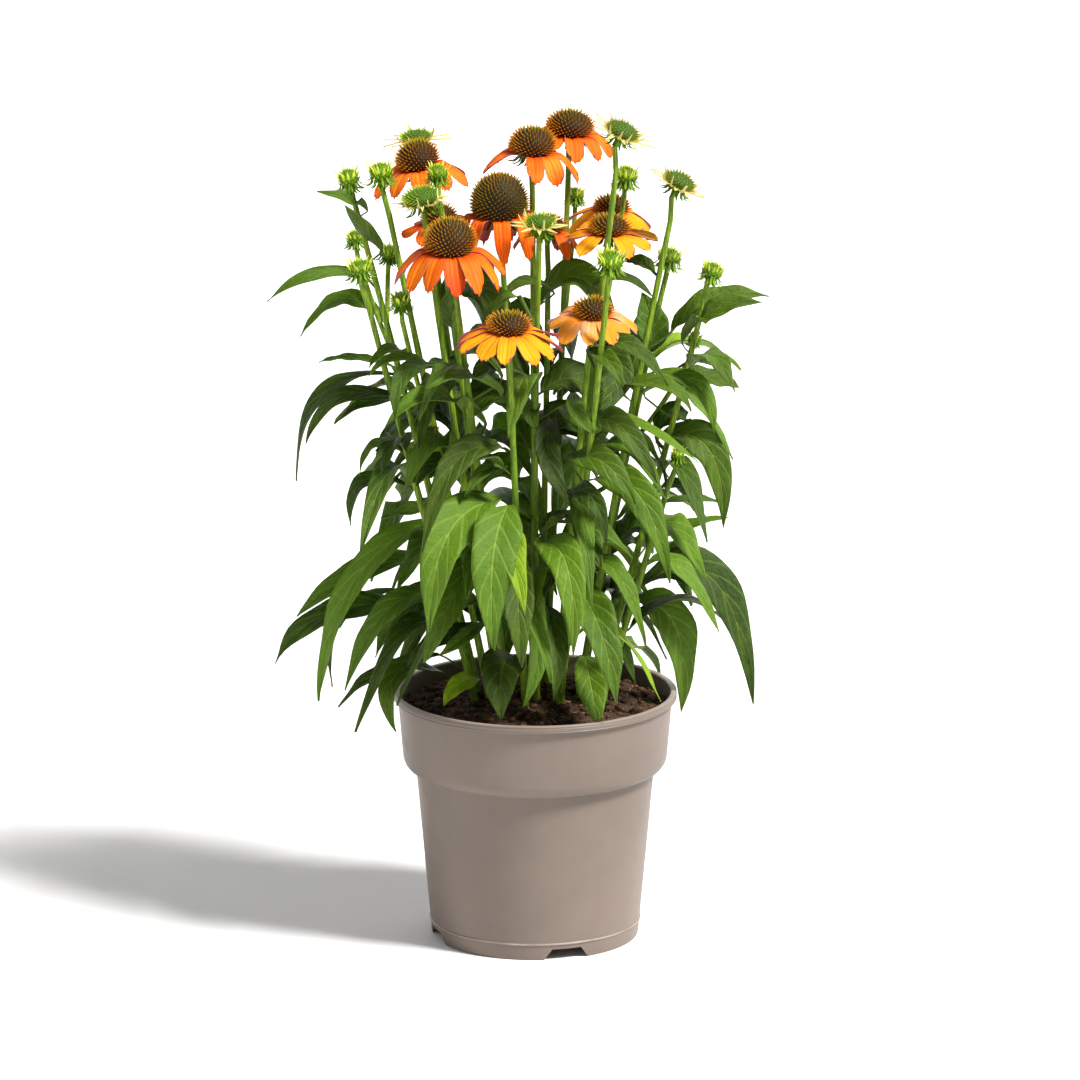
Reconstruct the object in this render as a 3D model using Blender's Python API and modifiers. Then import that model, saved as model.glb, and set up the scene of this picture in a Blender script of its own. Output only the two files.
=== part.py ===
"""Coneflower plant in a plastic nursery pot, filled with peat.

Millimetres in the code, metres in the file. +Z is up, the front of the plant
looks along -Y, and the origin is the centre of the pot's foot.
"""
import math
import random

import bmesh
import bpy
from mathutils import Matrix, Vector
from mathutils.bvhtree import BVHTree

MM = 0.001
NAME = "coneflower_plant"
GAP = 0.4

# pot
POT_STEPS = 26
WALL = 1.4
LIP_R = 95.0
LIP_Z = 168.4
COLLAR_TOP_R = 92.0
COLLAR_TOP_Z = 163.5
COLLAR_LOW_R = 88.8
COLLAR_LOW_Z = 125.8
BODY_TOP_R = 79.8
BODY_TOP_Z = 114.6
BODY_LOW_R = 70.6
BODY_LOW_Z = 11.6
FOOT_R = 69.5
FLOOR_UNDER_Z = 8.6
FLOOR_TOP_Z = 10.2
BOSS_R = 15.0
NOTCH_AZIMUTH = 17.7
NOTCH_LOW_W = 31.0
NOTCH_TOP_W = 20.0
NOTCH_H = 7.6

# soil
SOIL_STEPS = 26
SOIL_EDGE_Z = 157.0
SOIL_MID_Z = 164.0
SOIL_CROWN_Z = 166.0
HOLE_FLOOR_Z = 140.0

# stems
STEM_BOTTOM_Z = 141.0
STEM_STRAIGHT_Z = 168.0
STEM_TOP_Z = 535.0
STEM_SPREAD_LOW = 0.30
STEM_LOW_R = 2.6
STEM_TOP_R = 1.9
STEM_STEPS = 2
WANDER = 2.0
HOLE_SLACK = 0.45

# heads: name, kind, base point, lean to the right and to the front (degrees),
# radius, height, then reach, drop, width and count of the rays
HEADS = [
    ("01", "bloom", (23, 58, 535), 4, 4, 17.0, 17.0, 31, 11, 11.0, 10),
    ("02", "bloom", (-2, 22, 529), 3, 3, 16.5, 19.0, 35, 15, 11.0, 10),
    ("03", "bloom", (-77, 38, 516), -8, 4, 15.5, 20.0, 34, 13, 10.5, 10),
    ("04", "bloom", (-23, -2, 492), -2, 4, 20.5, 32.0, 30, 26, 10.0, 9),
    ("05", "bloom", (-55, -58, 479), 0, 6, 18.0, 25.0, 36, 20, 11.0, 12),
    ("06", "bloom", (-17, -78, 430), 2, 6, 14.5, 13.0, 37, 11, 11.0, 12),
    ("07", "bloom", (49, 8, 478), 2, 6, 14.0, 12.0, 33, 6, 10.5, 11),
    ("08", "bloom", (51, 62, 481), 4, 4, 12.5, 12.0, 30, 11, 10.0, 10),
    ("09", "bloom", (38, -34, 431), 3, 8, 13.5, 12.0, 33, 8, 10.5, 11),
    ("10", "bloom", (-63, 14, 484), -10, 4, 12.0, 12.0, 29, 6, 9.5, 10),
    ("11", "bloom", (9, 34, 474), 6, 4, 11.0, 11.0, 25, 12, 9.0, 9),
    ("12", "open", (-79, 66, 529), -6, 4, 10.5, 6.5, 25, -1, 3.2, 10),
    ("13", "open", (-74, -22, 505), -10, 8, 13.5, 9.0, 19, -3, 2.8, 11),
    ("14", "open", (3, -40, 492), 2, 6, 9.5, 8.0, 20, -5, 2.8, 10),
    ("15", "open", (56, -22, 550), 24, 10, 12.0, 8.0, 25, -3, 3.2, 11),
    ("16", "open", (94, 4, 511), 26, 8, 11.5, 8.0, 22, -4, 3.4, 10),
]
# buds on their own stems, and buds on side shoots of another stem
BUDS = [
    ("17", (-122, -6, 515), -12, 6, 9.3, 12.0),
    ("18", (-101, -16, 521), -6, 6, 10.0, 12.0),
    ("19", (-64, -8, 519), 0, 4, 8.6, 11.0),
    ("20", (-115, -26, 459), -6, 8, 9.8, 11.0),
    ("21", (49, -70, 473), 4, 10, 11.4, 12.5),
    ("22", (89, 30, 455), 10, 6, 10.4, 11.0),
    ("23", (116, -6, 453), 20, 4, 9.0, 11.0),
    ("24", (94, -28, 335), 8, 8, 5.6, 8.0),
]
SHOOTS = [
    ("17", 395, (-119, 14, 472), -8, 4, 7.4, 9.0),
    ("17", 420, (-97, 26, 459), 4, 4, 8.2, 10.0),
    ("18", 318, (-88, -36, 440), -4, 6, 8.4, 10.0),
    ("13", 262, (-68, -32, 352), 4, 8, 5.6, 7.0),
    ("08", 392, (60, 38, 508), 4, 4, 10.4, 12.0),
    ("01", 400, (27, 82, 487), 2, -4, 7.6, 9.0),
    ("22", 330, (106, 18, 404), 12, 4, 5.4, 7.0),
]

# leaves: root, crest, tip, width, and how far the blade turns to face the front
LEAVES = [
    ((-109, 0, 448), (-143, -8, 455), (-177, -8, 436), 11, .5),
    ((-97, 8, 414), (-127, 8, 434), (-156, 6, 408), 13, .6),
    ((-91, -5, 388), (-142, -15, 373), (-159, -10, 314), 13, .5),
    ((-83, -15, 370), (-127, -35, 378), (-151, -40, 347), 11, .5),
    ((-82, 5, 366), (-113, -5, 367), (-133, -5, 352), 9, .5),
    ((-95, 10, 388), (-122, 15, 393), (-144, 18, 389), 7, .4),
    ((-78, -10, 400), (-100, -22, 408), (-115, -28, 397), 9, .4),
    ((-63, -20, 395), (-91, -45, 406), (-109, -55, 396), 8, .5),
    ((-65, -25, 397), (-92, -60, 396), (-99, -70, 367), 11, .7),
    ((-32, -30, 357), (-67, -60, 385), (-98, -72, 366), 15, .4),
    ((-21, -40, 380), (-45, -75, 401), (-71, -90, 395), 12, .4),
    ((-80, 0, 326), (-105, -5, 339), (-117, -5, 317), 8, .4),
    ((-57, 10, 338), (-77, 15, 341), (-95, 20, 335), 7, .3),
    ((-49, -20, 335), (-73, -50, 350), (-93, -62, 316), 15, .6),
    ((-50, -18, 322), (-67, -36, 337), (-83, -46, 326), 14, .5),
    ((-17, -45, 343), (-51, -80, 345), (-74, -92, 286), 17, .8),
    ((-83, 5, 307), (-115, -5, 313), (-123, -5, 282), 11, .5),
    ((-60, 15, 292), (-80, 10, 291), (-103, 10, 284), 12, .5),
    ((-83, 20, 294), (-92, 25, 279), (-93, 25, 257), 5, .3),
    ((-57, 0, 289), (-109, -40, 247), (-134, -45, 159), 18, .7),
    ((-70, 15, 257), (-120, 0, 249), (-159, -5, 220), 16, .7),
    ((-70, 10, 224), (-137, -5, 223), (-174, -10, 189), 17, .7),
    ((-90, 25, 231), (-130, 30, 209), (-137, 30, 162), 12, .4),
    ((-58, -15, 241), (-100, -45, 233), (-126, -50, 181), 15, .7),
    ((-49, 0, 237), (-82, -20, 230), (-101, -30, 195), 19, .7),
    ((-57, 0, 178), (-98, -25, 190), (-131, -30, 164), 11, .5),
    ((-63, -10, 195), (-95, -50, 188), (-92, -62, 156), 14, .7),
    ((-23, -40, 309), (-57, -85, 296), (-69, -95, 233), 28, .9),
    ((-17, -66, 312), (-27, -101, 284), (-27, -108, 224), 27, 1),
    ((-14, -40, 275), (-11, -88, 253), (-9, -95, 209), 19, 1),
    ((-33, -20, 273), (-53, -70, 244), (-67, -82, 208), 19, .9),
    ((-19, -40, 331), (-33, -62, 334), (-46, -70, 318), 9, .6),
    ((12, -25, 361), (9, -60, 343), (23, -68, 312), 15, 1),
    ((3, -15, 369), (-3, -35, 366), (3, -42, 355), 9, .8),
    ((17, -30, 370), (28, -55, 368), (39, -62, 359), 11, .6),
    ((43, 0, 405), (43, -25, 388), (26, -35, 368), 21, 1),
    ((35, -40, 413), (62, -62, 422), (87, -72, 399), 12, .6),
    ((34, -40, 411), (49, -75, 410), (57, -85, 395), 11, .7),
    ((25, -42, 382), (28, -68, 374), (38, -75, 362), 10, .8),
    ((30, -25, 360), (57, -60, 370), (80, -72, 340), 16, .8),
    ((37, -20, 337), (62, -55, 348), (86, -65, 315), 13, .6),
    ((20, -30, 335), (45, -68, 341), (66, -78, 315), 17, .9),
    ((37, -5, 314), (69, -40, 312), (89, -52, 255), 20, .9),
    ((20, -30, 312), (38, -75, 318), (47, -85, 289), 12, .9),
    ((4, -25, 282), (38, -50, 300), (75, -60, 278), 12, .4),
    ((1, -35, 278), (21, -90, 277), (25, -105, 219), 21, 1),
    ((25, -25, 250), (43, -75, 230), (54, -88, 182), 22, 1),
    ((30, -15, 261), (55, -50, 261), (73, -62, 215), 13, .5),
    ((58, 0, 239), (118, -10, 248), (146, -15, 162), 25, .9),
    ((63, 5, 229), (94, 0, 208), (98, -2, 147), 24, .9),
    ((43, 30, 185), (71, 50, 185), (86, 62, 156), 13, .3),
    ((90, 5, 384), (110, -5, 395), (130, -8, 385), 7, .3),
    ((87, 12, 380), (115, 20, 382), (135, 24, 377), 13, .6),
    ((77, -5, 387), (108, -25, 382), (118, -30, 352), 13, .5),
    ((47, -15, 378), (73, -48, 386), (89, -58, 368), 12, .4),
    ((80, 10, 339), (93, 15, 355), (105, 15, 343), 15, .7),
    ((80, 0, 341), (115, -15, 338), (125, -18, 284), 21, .9),
    ((77, 5, 301), (97, 0, 310), (107, -3, 291), 9, .4),
    ((77, 10, 292), (107, 10, 298), (128, 10, 292), 7, .3),
    ((75, 8, 266), (103, 0, 282), (129, -4, 288), 9, .6),
    ((43, -20, 367), (77, -55, 359), (107, -65, 341), 9, .3),
    ((89, 5, 410), (118, 10, 434), (155, 12, 435), 15, .7),
    ((97, 0, 405), (118, -12, 431), (150, -15, 437), 13, .7),
    ((77, 20, 397), (77, 25, 416), (71, 28, 434), 20, 1),
    ((37, 5, 443), (58, -5, 452), (79, -8, 438), 9, .3),
    ((13, 10, 437), (-10, 0, 446), (-35, -5, 420), 10, .3),
    ((-10, -10, 439), (-20, -20, 441), (-30, -26, 428), 9, .4),
    ((80, 10, 453), (69, 18, 458), (57, 24, 456), 9, .6),
    ((-110, -5, 496), (-123, -15, 507), (-143, -20, 512), 8, .7),
    ((-101, -2, 468), (-113, -12, 486), (-125, -20, 503), 10, .7),
    ((-71, 5, 461), (-79, 0, 479), (-82, -3, 498), 9, .8),
    ((-49, 0, 412), (-57, -10, 431), (-53, -14, 449), 11, .8),
    ((-15, -30, 200), (-19, -70, 198), (-17, -86, 171), 25, 1),
    ((-3, -30, 231), (2, -72, 210), (-8, -82, 178), 11, .9),
    ((7, -20, 232), (15, -62, 215), (12, -72, 181), 13, .9),
    ((33, -25, 199), (38, -66, 185), (41, -80, 166), 18, 1),
    ((27, -15, 196), (37, -45, 192), (47, -56, 184), 15, .8),
    ((50, 0, 216), (59, -15, 198), (64, -20, 182), 7, .6),
    ((-38, -15, 180), (-51, -40, 182), (-61, -52, 171), 12, .8),
    ((-43, -5, 218), (-69, -40, 214), (-88, -50, 199), 13, .8),
    ((-33, -20, 221), (-49, -52, 217), (-63, -62, 208), 9, .7),
]
INNER_LEAVES = 96
BACK_LEAVES = 84
BACK_Y = 10.0
SEED = 41

COLOURS = {
    "pot_plastic": ((0.42, 0.36, 0.32, 1.0), 0.55),
    "peat": ((0.045, 0.025, 0.016, 1.0), 0.95),
    "foliage": ((0.13, 0.25, 0.05, 1.0), 0.6),
    "petal_orange": ((0.85, 0.16, 0.03, 1.0), 0.55),
    "petal_amber": ((0.88, 0.36, 0.05, 1.0), 0.55),
    "petal_blush": ((0.86, 0.52, 0.38, 1.0), 0.55),
    "cone_brown": ((0.24, 0.08, 0.03, 1.0), 0.7),
    "disc_green": ((0.25, 0.33, 0.08, 1.0), 0.7),
    "ray_cream": ((0.85, 0.82, 0.5, 1.0), 0.6),
}
AMBER = ("06", "07", "08")
BLUSH = ("09",)
SOLVER = "MANIFOLD"

placed = []


def clear_scene():
    for obj in list(bpy.data.objects):
        bpy.data.objects.remove(obj, do_unlink=True)


def make_collection(name):
    group = bpy.data.collections.new(name)
    bpy.context.scene.collection.children.link(group)
    return group


def make_material(name):
    colour, rough = COLOURS[name]
    mat = bpy.data.materials.new(name)
    mat.use_nodes = True
    shader = mat.node_tree.nodes["Principled BSDF"]
    shader.inputs["Base Color"].default_value = colour
    shader.inputs["Roughness"].default_value = rough
    mat.diffuse_color = colour
    return mat


def mesh_object(name, verts, faces, group):
    mesh = bpy.data.meshes.new(name)
    mesh.from_pydata([Vector(v) * MM for v in verts], [], faces)
    mesh.update()
    obj = bpy.data.objects.new(name, mesh)
    group.objects.link(obj)
    tidy_mesh(obj)
    return obj


def tidy_mesh(obj):
    bm = bmesh.new()
    bm.from_mesh(obj.data)
    bmesh.ops.remove_doubles(bm, verts=bm.verts, dist=0.00001)
    bmesh.ops.recalc_face_normals(bm, faces=bm.faces)
    bm.to_mesh(obj.data)
    bm.free()


def apply_modifiers(obj):
    graph = bpy.context.evaluated_depsgraph_get()
    mesh = bpy.data.meshes.new_from_object(obj.evaluated_get(graph))
    obj.modifiers.clear()
    old = obj.data
    obj.data = mesh
    bpy.data.meshes.remove(old)


def join_union(base, others, solver):
    """Fuse a collection of closed pieces to the base, then drop the pieces."""
    hold = make_collection(base.name + "_adds")
    for obj in others:
        for owner in list(obj.users_collection):
            owner.objects.unlink(obj)
        hold.objects.link(obj)
        obj.display_type = "WIRE"
        obj.hide_render = True
    mod = base.modifiers.new("fuse", "BOOLEAN")
    mod.operation = "UNION"
    mod.operand_type = "COLLECTION"
    mod.collection = hold
    mod.solver = solver
    bpy.context.view_layer.update()
    apply_modifiers(base)
    for obj in list(hold.objects):
        bpy.data.objects.remove(obj, do_unlink=True)
    bpy.data.collections.remove(hold)


def cut_away(base, cutters, solver="EXACT"):
    hold = make_collection(base.name + "_cutters")
    for obj in cutters:
        for owner in list(obj.users_collection):
            owner.objects.unlink(obj)
        hold.objects.link(obj)
        obj.display_type = "WIRE"
        obj.hide_render = True
    mod = base.modifiers.new("cut", "BOOLEAN")
    mod.operation = "DIFFERENCE"
    mod.operand_type = "COLLECTION"
    mod.collection = hold
    mod.solver = solver
    bpy.context.view_layer.update()
    apply_modifiers(base)
    for obj in list(hold.objects):
        bpy.data.objects.remove(obj, do_unlink=True)
    bpy.data.collections.remove(hold)


# where things are

class Solid:
    """A placed closed mesh with its tree, for the clearance test."""

    def __init__(self, node, role, verts, faces):
        self.node = node
        self.role = role
        self.low = [min(v[i] for v in verts) for i in range(3)]
        self.high = [max(v[i] for v in verts) for i in range(3)]
        self.tree = BVHTree.FromPolygons([Vector(v) for v in verts], faces)


def remember(node, role, verts, faces):
    placed.append(Solid(node, role, verts, faces))


def remember_object(node, role, obj):
    verts = [v.co / MM for v in obj.data.vertices]
    faces = [tuple(p.vertices) for p in obj.data.polygons]
    remember(node, role, verts, faces)


def is_clear(verts, faces, skip):
    trial = Solid("", "", verts, faces)
    for other in placed:
        if skip(other):
            continue
        apart = False
        for i in range(3):
            if trial.low[i] > other.high[i] or trial.high[i] < other.low[i]:
                apart = True
        if apart:
            continue
        if trial.tree.overlap(other.tree):
            return False
    return True


# pot and soil

def revolve(name, profile, steps, group):
    mesh = bpy.data.meshes.new(name)
    edges = [(i, i + 1) for i in range(len(profile) - 1)]
    mesh.from_pydata([(r * MM, 0.0, z * MM) for r, z in profile], edges, [])
    obj = bpy.data.objects.new(name, mesh)
    group.objects.link(obj)
    mod = obj.modifiers.new("turn", "SCREW")
    mod.axis = "Z"
    mod.angle = math.tau
    mod.steps = steps
    mod.render_steps = steps
    mod.use_merge_vertices = True
    mod.merge_threshold = 0.00005
    bpy.context.view_layer.update()
    apply_modifiers(obj)
    tidy_mesh(obj)
    return obj


def outer_profile():
    return [
        (LIP_R - 0.5, LIP_Z),
        (LIP_R, LIP_Z - 0.5),
        (LIP_R, COLLAR_TOP_Z + 0.5),
        (COLLAR_TOP_R, COLLAR_TOP_Z - 0.1),
        (COLLAR_LOW_R, COLLAR_LOW_Z),
        (COLLAR_LOW_R - 0.9, COLLAR_LOW_Z - 4.3),
        (COLLAR_LOW_R - 3.2, COLLAR_LOW_Z - 7.4),
        (COLLAR_LOW_R - 6.1, COLLAR_LOW_Z - 8.5),
        (BODY_TOP_R, BODY_TOP_Z),
        (BODY_LOW_R, BODY_LOW_Z),
        (BODY_LOW_R + 0.6, BODY_LOW_Z - 0.6),
        (BODY_LOW_R - 0.2, BODY_LOW_Z - 1.6),
        (FOOT_R, 0.0),
    ]


def under_profile():
    return [
        (FOOT_R - WALL - 0.2, 0.0),
        (FOOT_R - WALL + 0.3, FLOOR_UNDER_Z),
        (BOSS_R + 1.0, FLOOR_UNDER_Z),
        (BOSS_R, 0.0),
        (0.0, 0.0),
    ]


def inner_profile():
    return [
        (0.0, FLOOR_TOP_Z),
        (BODY_LOW_R - WALL, FLOOR_TOP_Z),
        (BODY_TOP_R - WALL, BODY_TOP_Z - 1.0),
        (BODY_TOP_R - WALL + 0.6, BODY_TOP_Z + 2.4),
        (COLLAR_LOW_R - 5.2, COLLAR_LOW_Z - 6.4),
        (COLLAR_LOW_R - WALL - 0.6, COLLAR_LOW_Z - 2.0),
        (COLLAR_TOP_R - WALL, COLLAR_TOP_Z),
        (COLLAR_TOP_R - WALL + 0.2, LIP_Z),
    ]


def notch_cutter(azimuth, group):
    near = FOOT_R - 8.0
    far = FOOT_R + 6.0
    low = NOTCH_LOW_W / 2
    top = NOTCH_TOP_W / 2
    verts = []
    for reach in (near, far):
        for side, z in ((-low - 0.8, -0.8), (low + 0.8, -0.8), (top, NOTCH_H), (-top, NOTCH_H)):
            verts.append((reach, side, z))
    turn = Matrix.Rotation(math.radians(azimuth - 90.0), 4, "Z")
    verts = [turn @ Vector(v) for v in verts]
    faces = [(0, 3, 2, 1), (4, 5, 6, 7), (0, 1, 5, 4), (1, 2, 6, 5), (2, 3, 7, 6), (3, 0, 4, 7)]
    return mesh_object("notch", verts, faces, group)


def slot_cutter(azimuth, group):
    verts = []
    for reach in (40.0, 62.0):
        for side, z in ((-3.5, 6.0), (3.5, 6.0), (3.5, 12.0), (-3.5, 12.0)):
            verts.append((reach, side, z))
    turn = Matrix.Rotation(math.radians(azimuth - 90.0), 4, "Z")
    verts = [turn @ Vector(v) for v in verts]
    faces = [(0, 3, 2, 1), (4, 5, 6, 7), (0, 1, 5, 4), (1, 2, 6, 5), (2, 3, 7, 6), (3, 0, 4, 7)]
    return mesh_object("drain", verts, faces, group)


def build_pot(group):
    profile = inner_profile() + outer_profile() + under_profile()
    pot = revolve("pot", profile, POT_STEPS, group)
    cutters = []
    for quarter in range(4):
        azimuth = NOTCH_AZIMUTH + 90.0 * quarter
        cutters.append(notch_cutter(azimuth, group))
        cutters.append(slot_cutter(azimuth, group))
        cutters.append(slot_cutter(azimuth + 45.0, group))
    cut_away(pot, cutters)
    pot.data.materials.append(make_material("pot_plastic"))
    remember_object("pot", "pot", pot)
    return pot


def soil_profile():
    slack = 0.5
    return [
        (0.0, SOIL_CROWN_Z),
        (34.0, SOIL_CROWN_Z - 0.8),
        (66.0, SOIL_EDGE_Z + 5.0),
        (COLLAR_TOP_R - WALL - slack - 0.7, SOIL_EDGE_Z),
        (COLLAR_LOW_R - WALL - slack - 0.6, COLLAR_LOW_Z - 1.0),
        (COLLAR_LOW_R - 7.0 - slack, COLLAR_LOW_Z - 6.2),
        (BODY_TOP_R - WALL - slack, BODY_TOP_Z + 2.0),
        (BODY_LOW_R - WALL - slack, FLOOR_TOP_Z + slack),
        (0.0, FLOOR_TOP_Z + slack),
    ]


def roughen_soil(soil):
    rng = random.Random(SEED)
    for vert in soil.data.vertices:
        reach = math.hypot(vert.co.x, vert.co.y) / MM
        if vert.co.z / MM > SOIL_EDGE_Z - 4.0 and reach < LIP_R - 6.0:
            vert.co.z += rng.uniform(-1.6, 0.9) * MM


def build_soil(stems, group):
    soil = revolve("soil", soil_profile(), SOIL_STEPS, group)
    roughen_soil(soil)
    holes = []
    for stem in stems:
        x, y = stem.foot()
        hole = prism((x, y), STEM_LOW_R + HOLE_SLACK + 0.5, HOLE_FLOOR_Z, SOIL_CROWN_Z + 8.0, 6, group)
        holes.append(hole)
    cut_away(soil, holes)
    soil.data.materials.append(make_material("peat"))
    remember_object("soil", "soil", soil)
    return soil


def prism(centre, radius, low, high, sides, group):
    verts = []
    for z in (low, high):
        for k in range(sides):
            a = math.tau * k / sides
            verts.append((centre[0] + radius * math.cos(a), centre[1] + radius * math.sin(a), z))
    faces = [tuple(range(sides))[::-1], tuple(range(sides, 2 * sides))]
    for k in range(sides):
        n = (k + 1) % sides
        faces.append((k, n, sides + n, sides + k))
    return mesh_object("hole", verts, faces, group)


# stems

def spread(z):
    share = (z - STEM_STRAIGHT_Z) / (STEM_TOP_Z - STEM_STRAIGHT_Z)
    return STEM_SPREAD_LOW + (1.0 - STEM_SPREAD_LOW) * max(0.0, share)


def head_axis(lean_right, lean_front):
    axis = Vector((math.tan(math.radians(lean_right)), -math.tan(math.radians(lean_front)), 1.0))
    return axis.normalized()


def head_frame(point, axis):
    front = Vector((0.0, -1.0, 0.0))
    front = (front - axis * front.dot(axis)).normalized()
    right = axis.cross(front).normalized()
    return Vector(point), axis, front, right


class Stem:
    """One shoot from the soil to its head; all shoots fan out together."""

    def __init__(self, name, point, axis, flare):
        self.name = name
        self.node = "stem_" + name
        self.point = Vector(point)
        self.axis = axis
        self.flare = flare
        self.ray = Vector((point[0], point[1])) / spread(point[2])
        rng = random.Random(SEED * 100 + int(name))
        self.sway = (rng.uniform(-WANDER, WANDER), rng.uniform(-WANDER, WANDER))

    def foot(self):
        return self.ray * STEM_SPREAD_LOW

    def at(self, z):
        xy = self.ray * spread(z)
        share = (z - STEM_STRAIGHT_Z) / (self.point.z - STEM_STRAIGHT_Z)
        bow = math.sin(math.pi * min(1.0, max(0.0, share)))
        return Vector((xy.x + self.sway[0] * bow, xy.y + self.sway[1] * bow, z))

    def radius(self, z):
        share = (z - STEM_STRAIGHT_Z) / (self.point.z - STEM_STRAIGHT_Z)
        return STEM_LOW_R + (STEM_TOP_R - STEM_LOW_R) * min(1.0, max(0.0, share))

    def path(self):
        points = [self.at(STEM_BOTTOM_Z), self.at(STEM_STRAIGHT_Z)]
        radii = [STEM_LOW_R, STEM_LOW_R]
        neck = self.point - self.axis * 16.0
        for k in range(1, STEM_STEPS + 1):
            z = STEM_STRAIGHT_Z + (neck.z - STEM_STRAIGHT_Z) * k / (STEM_STEPS + 0.6)
            points.append(self.at(z))
            radii.append(self.radius(z))
        points.append(self.point - self.axis * 9.0)
        radii.append(STEM_TOP_R)
        points.append(self.point - self.axis * 1.4)
        radii.append(self.flare)
        points.append(self.point.copy())
        radii.append(self.flare * 0.94)
        return points, radii


def tube(name, points, radii, group):
    curve = bpy.data.curves.new(name, "CURVE")
    curve.dimensions = "3D"
    curve.bevel_depth = MM
    curve.bevel_resolution = 1
    curve.use_fill_caps = True
    line = curve.splines.new("POLY")
    line.points.add(len(points) - 1)
    for spot, point, radius in zip(line.points, points, radii):
        spot.co = (point[0] * MM, point[1] * MM, point[2] * MM, 1.0)
        spot.radius = radius
    rod = bpy.data.objects.new(name, curve)
    group.objects.link(rod)
    bpy.context.view_layer.update()
    graph = bpy.context.evaluated_depsgraph_get()
    mesh = bpy.data.meshes.new_from_object(rod.evaluated_get(graph))
    bpy.data.objects.remove(rod, do_unlink=True)
    bpy.data.curves.remove(curve)
    obj = bpy.data.objects.new(name, mesh)
    group.objects.link(obj)
    tidy_mesh(obj)
    return obj


# blades: leaves, petals, rays and bracts

def blade_mesh(stations, tip, grow=0.0):
    """A closed strip of four-point sections; tip is a point or None."""
    verts = []
    for centre, along, side, width, thick, lift in stations:
        up = side.cross(along).normalized()
        half = width / 2 + grow
        deep = thick / 2 + grow
        verts.append(centre - side * half + up * lift)
        verts.append(centre + up * deep)
        verts.append(centre + side * half + up * lift)
        verts.append(centre - up * deep)
    faces = [(0, 1, 2), (0, 2, 3)]
    for k in range(len(stations) - 1):
        a = 4 * k
        b = a + 4
        for i in range(4):
            j = (i + 1) % 4
            edge = i if i % 2 == 0 else j
            mid = j if i % 2 == 0 else i
            if i % 2 == 0:
                faces.append((a + edge, b + edge, b + mid))
                faces.append((a + edge, b + mid, a + mid))
            else:
                faces.append((a + mid, b + mid, a + edge))
                faces.append((a + edge, b + mid, b + edge))
    last = 4 * (len(stations) - 1)
    if tip is None:
        faces.append((last, last + 2, last + 1))
        faces.append((last, last + 3, last + 2))
    else:
        end = len(verts)
        verts.append(tip)
        for i in range(4):
            faces.append((last + i, end, last + (i + 1) % 4))
    return verts, faces


def quad_curve(a, b, c, u):
    """A curve that passes b half way."""
    mid = b * 2.0 - (a + c) * 0.5
    return a * (1 - u) ** 2 + mid * 2 * u * (1 - u) + c * u ** 2


def level_side(a, b):
    flat = Vector((b.x - a.x, b.y - a.y, 0.0))
    if flat.length < 1e-6:
        flat = Vector((0.0, -1.0, 0.0))
    return flat.normalized().cross(Vector((0.0, 0.0, 1.0)))


VIEW = Vector((0.0, 0.970, -0.242))
LEAF_SHAPE = ((0.0, 0.30), (0.33, 1.0), (0.68, 0.84))


def leaf_blade(root, crest, tip, width, facing, grow=0.0, entry=None):
    """The stations of a leaf from its stalk to its tip."""
    side = level_side(root, tip)
    stations = []
    stalk = None
    if entry is not None:
        stalk = (root - entry).normalized()
        level = level_side(entry, root)
        if level.dot(side) < 0:
            level = -level
        across = level + side
        across = (across - stalk * across.dot(stalk)).normalized()
        stations.append((entry, stalk, across, 2.6, 2.0, 0.0))
    for share, wide in LEAF_SHAPE:
        spot = quad_curve(root, crest, tip, share)
        ahead = quad_curve(root, crest, tip, share + 0.02)
        along = (ahead - spot).normalized()
        if share == 0.0 and stalk is not None:
            along = (along + stalk).normalized()
        across = (side - along * side.dot(along)).normalized()
        shown = along.cross(VIEW)
        if shown.length > 0.2:
            shown.normalize()
            if shown.dot(across) < 0:
                shown = -shown
            mix = facing * min(1.0, share * 3.0) * 0.8
            across = (across * (1 - mix) + shown * mix).normalized()
            across = (across - along * across.dot(along)).normalized()
        lift = (width * wide + 2 * grow) * (0.16 - 0.10 * share)
        stations.append((spot, along, across, max(2.4, width * wide), 1.3, lift))
    return blade_mesh(stations, tip, grow)


def is_sound(verts, faces):
    """True if no two faces of the blade cross, apart from neighbours."""
    tree = BVHTree.FromPolygons([Vector(v) for v in verts], faces)
    for a, b in tree.overlap(tree):
        if a < b and not set(faces[a]) & set(faces[b]):
            return False
    return True


class Leaf:
    def __init__(self, root, crest, tip, width, facing):
        self.root = Vector(root)
        self.crest = Vector(crest)
        self.tip = Vector(tip)
        self.width = width
        self.facing = facing

    def moved(self, turn, rise):
        """The leaf turned about its root and raised a little."""
        spin = Matrix.Rotation(math.radians(turn), 3, "Z")
        crest = self.root + spin @ (self.crest - self.root)
        tip = self.root + spin @ (self.tip - self.root)
        crest.z += rise * 0.6
        tip.z += rise
        return Leaf(self.root, crest, tip, self.width, self.facing)


TRIALS = [(0, 0), (5, 0), (-5, 0), (0, 6), (0, -6), (9, 4), (-9, 4), (9, -5), (-9, -5),
          (14, 0), (-14, 0), (0, 12), (0, -12), (19, 6), (-19, 6), (24, 0), (-24, 0)]


def entry_choices(leaf, stems):
    """Stems near the leaf's root, nearest first, with the joining point."""
    found = []
    for stem in stems:
        z = leaf.root.z
        for _ in range(3):
            spot = stem.at(max(STEM_STRAIGHT_Z + 3.0, z))
            gap = (leaf.root - spot).length
            z = leaf.root.z - 0.55 * gap
        z = max(STEM_STRAIGHT_Z + 3.0, z)
        if z > stem.point.z - 22.0:
            continue
        spot = stem.at(z)
        found.append(((leaf.root - spot).length, stem.name, stem, spot))
    found.sort(key=lambda row: (row[0], row[1]))
    return found[:4]


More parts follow.
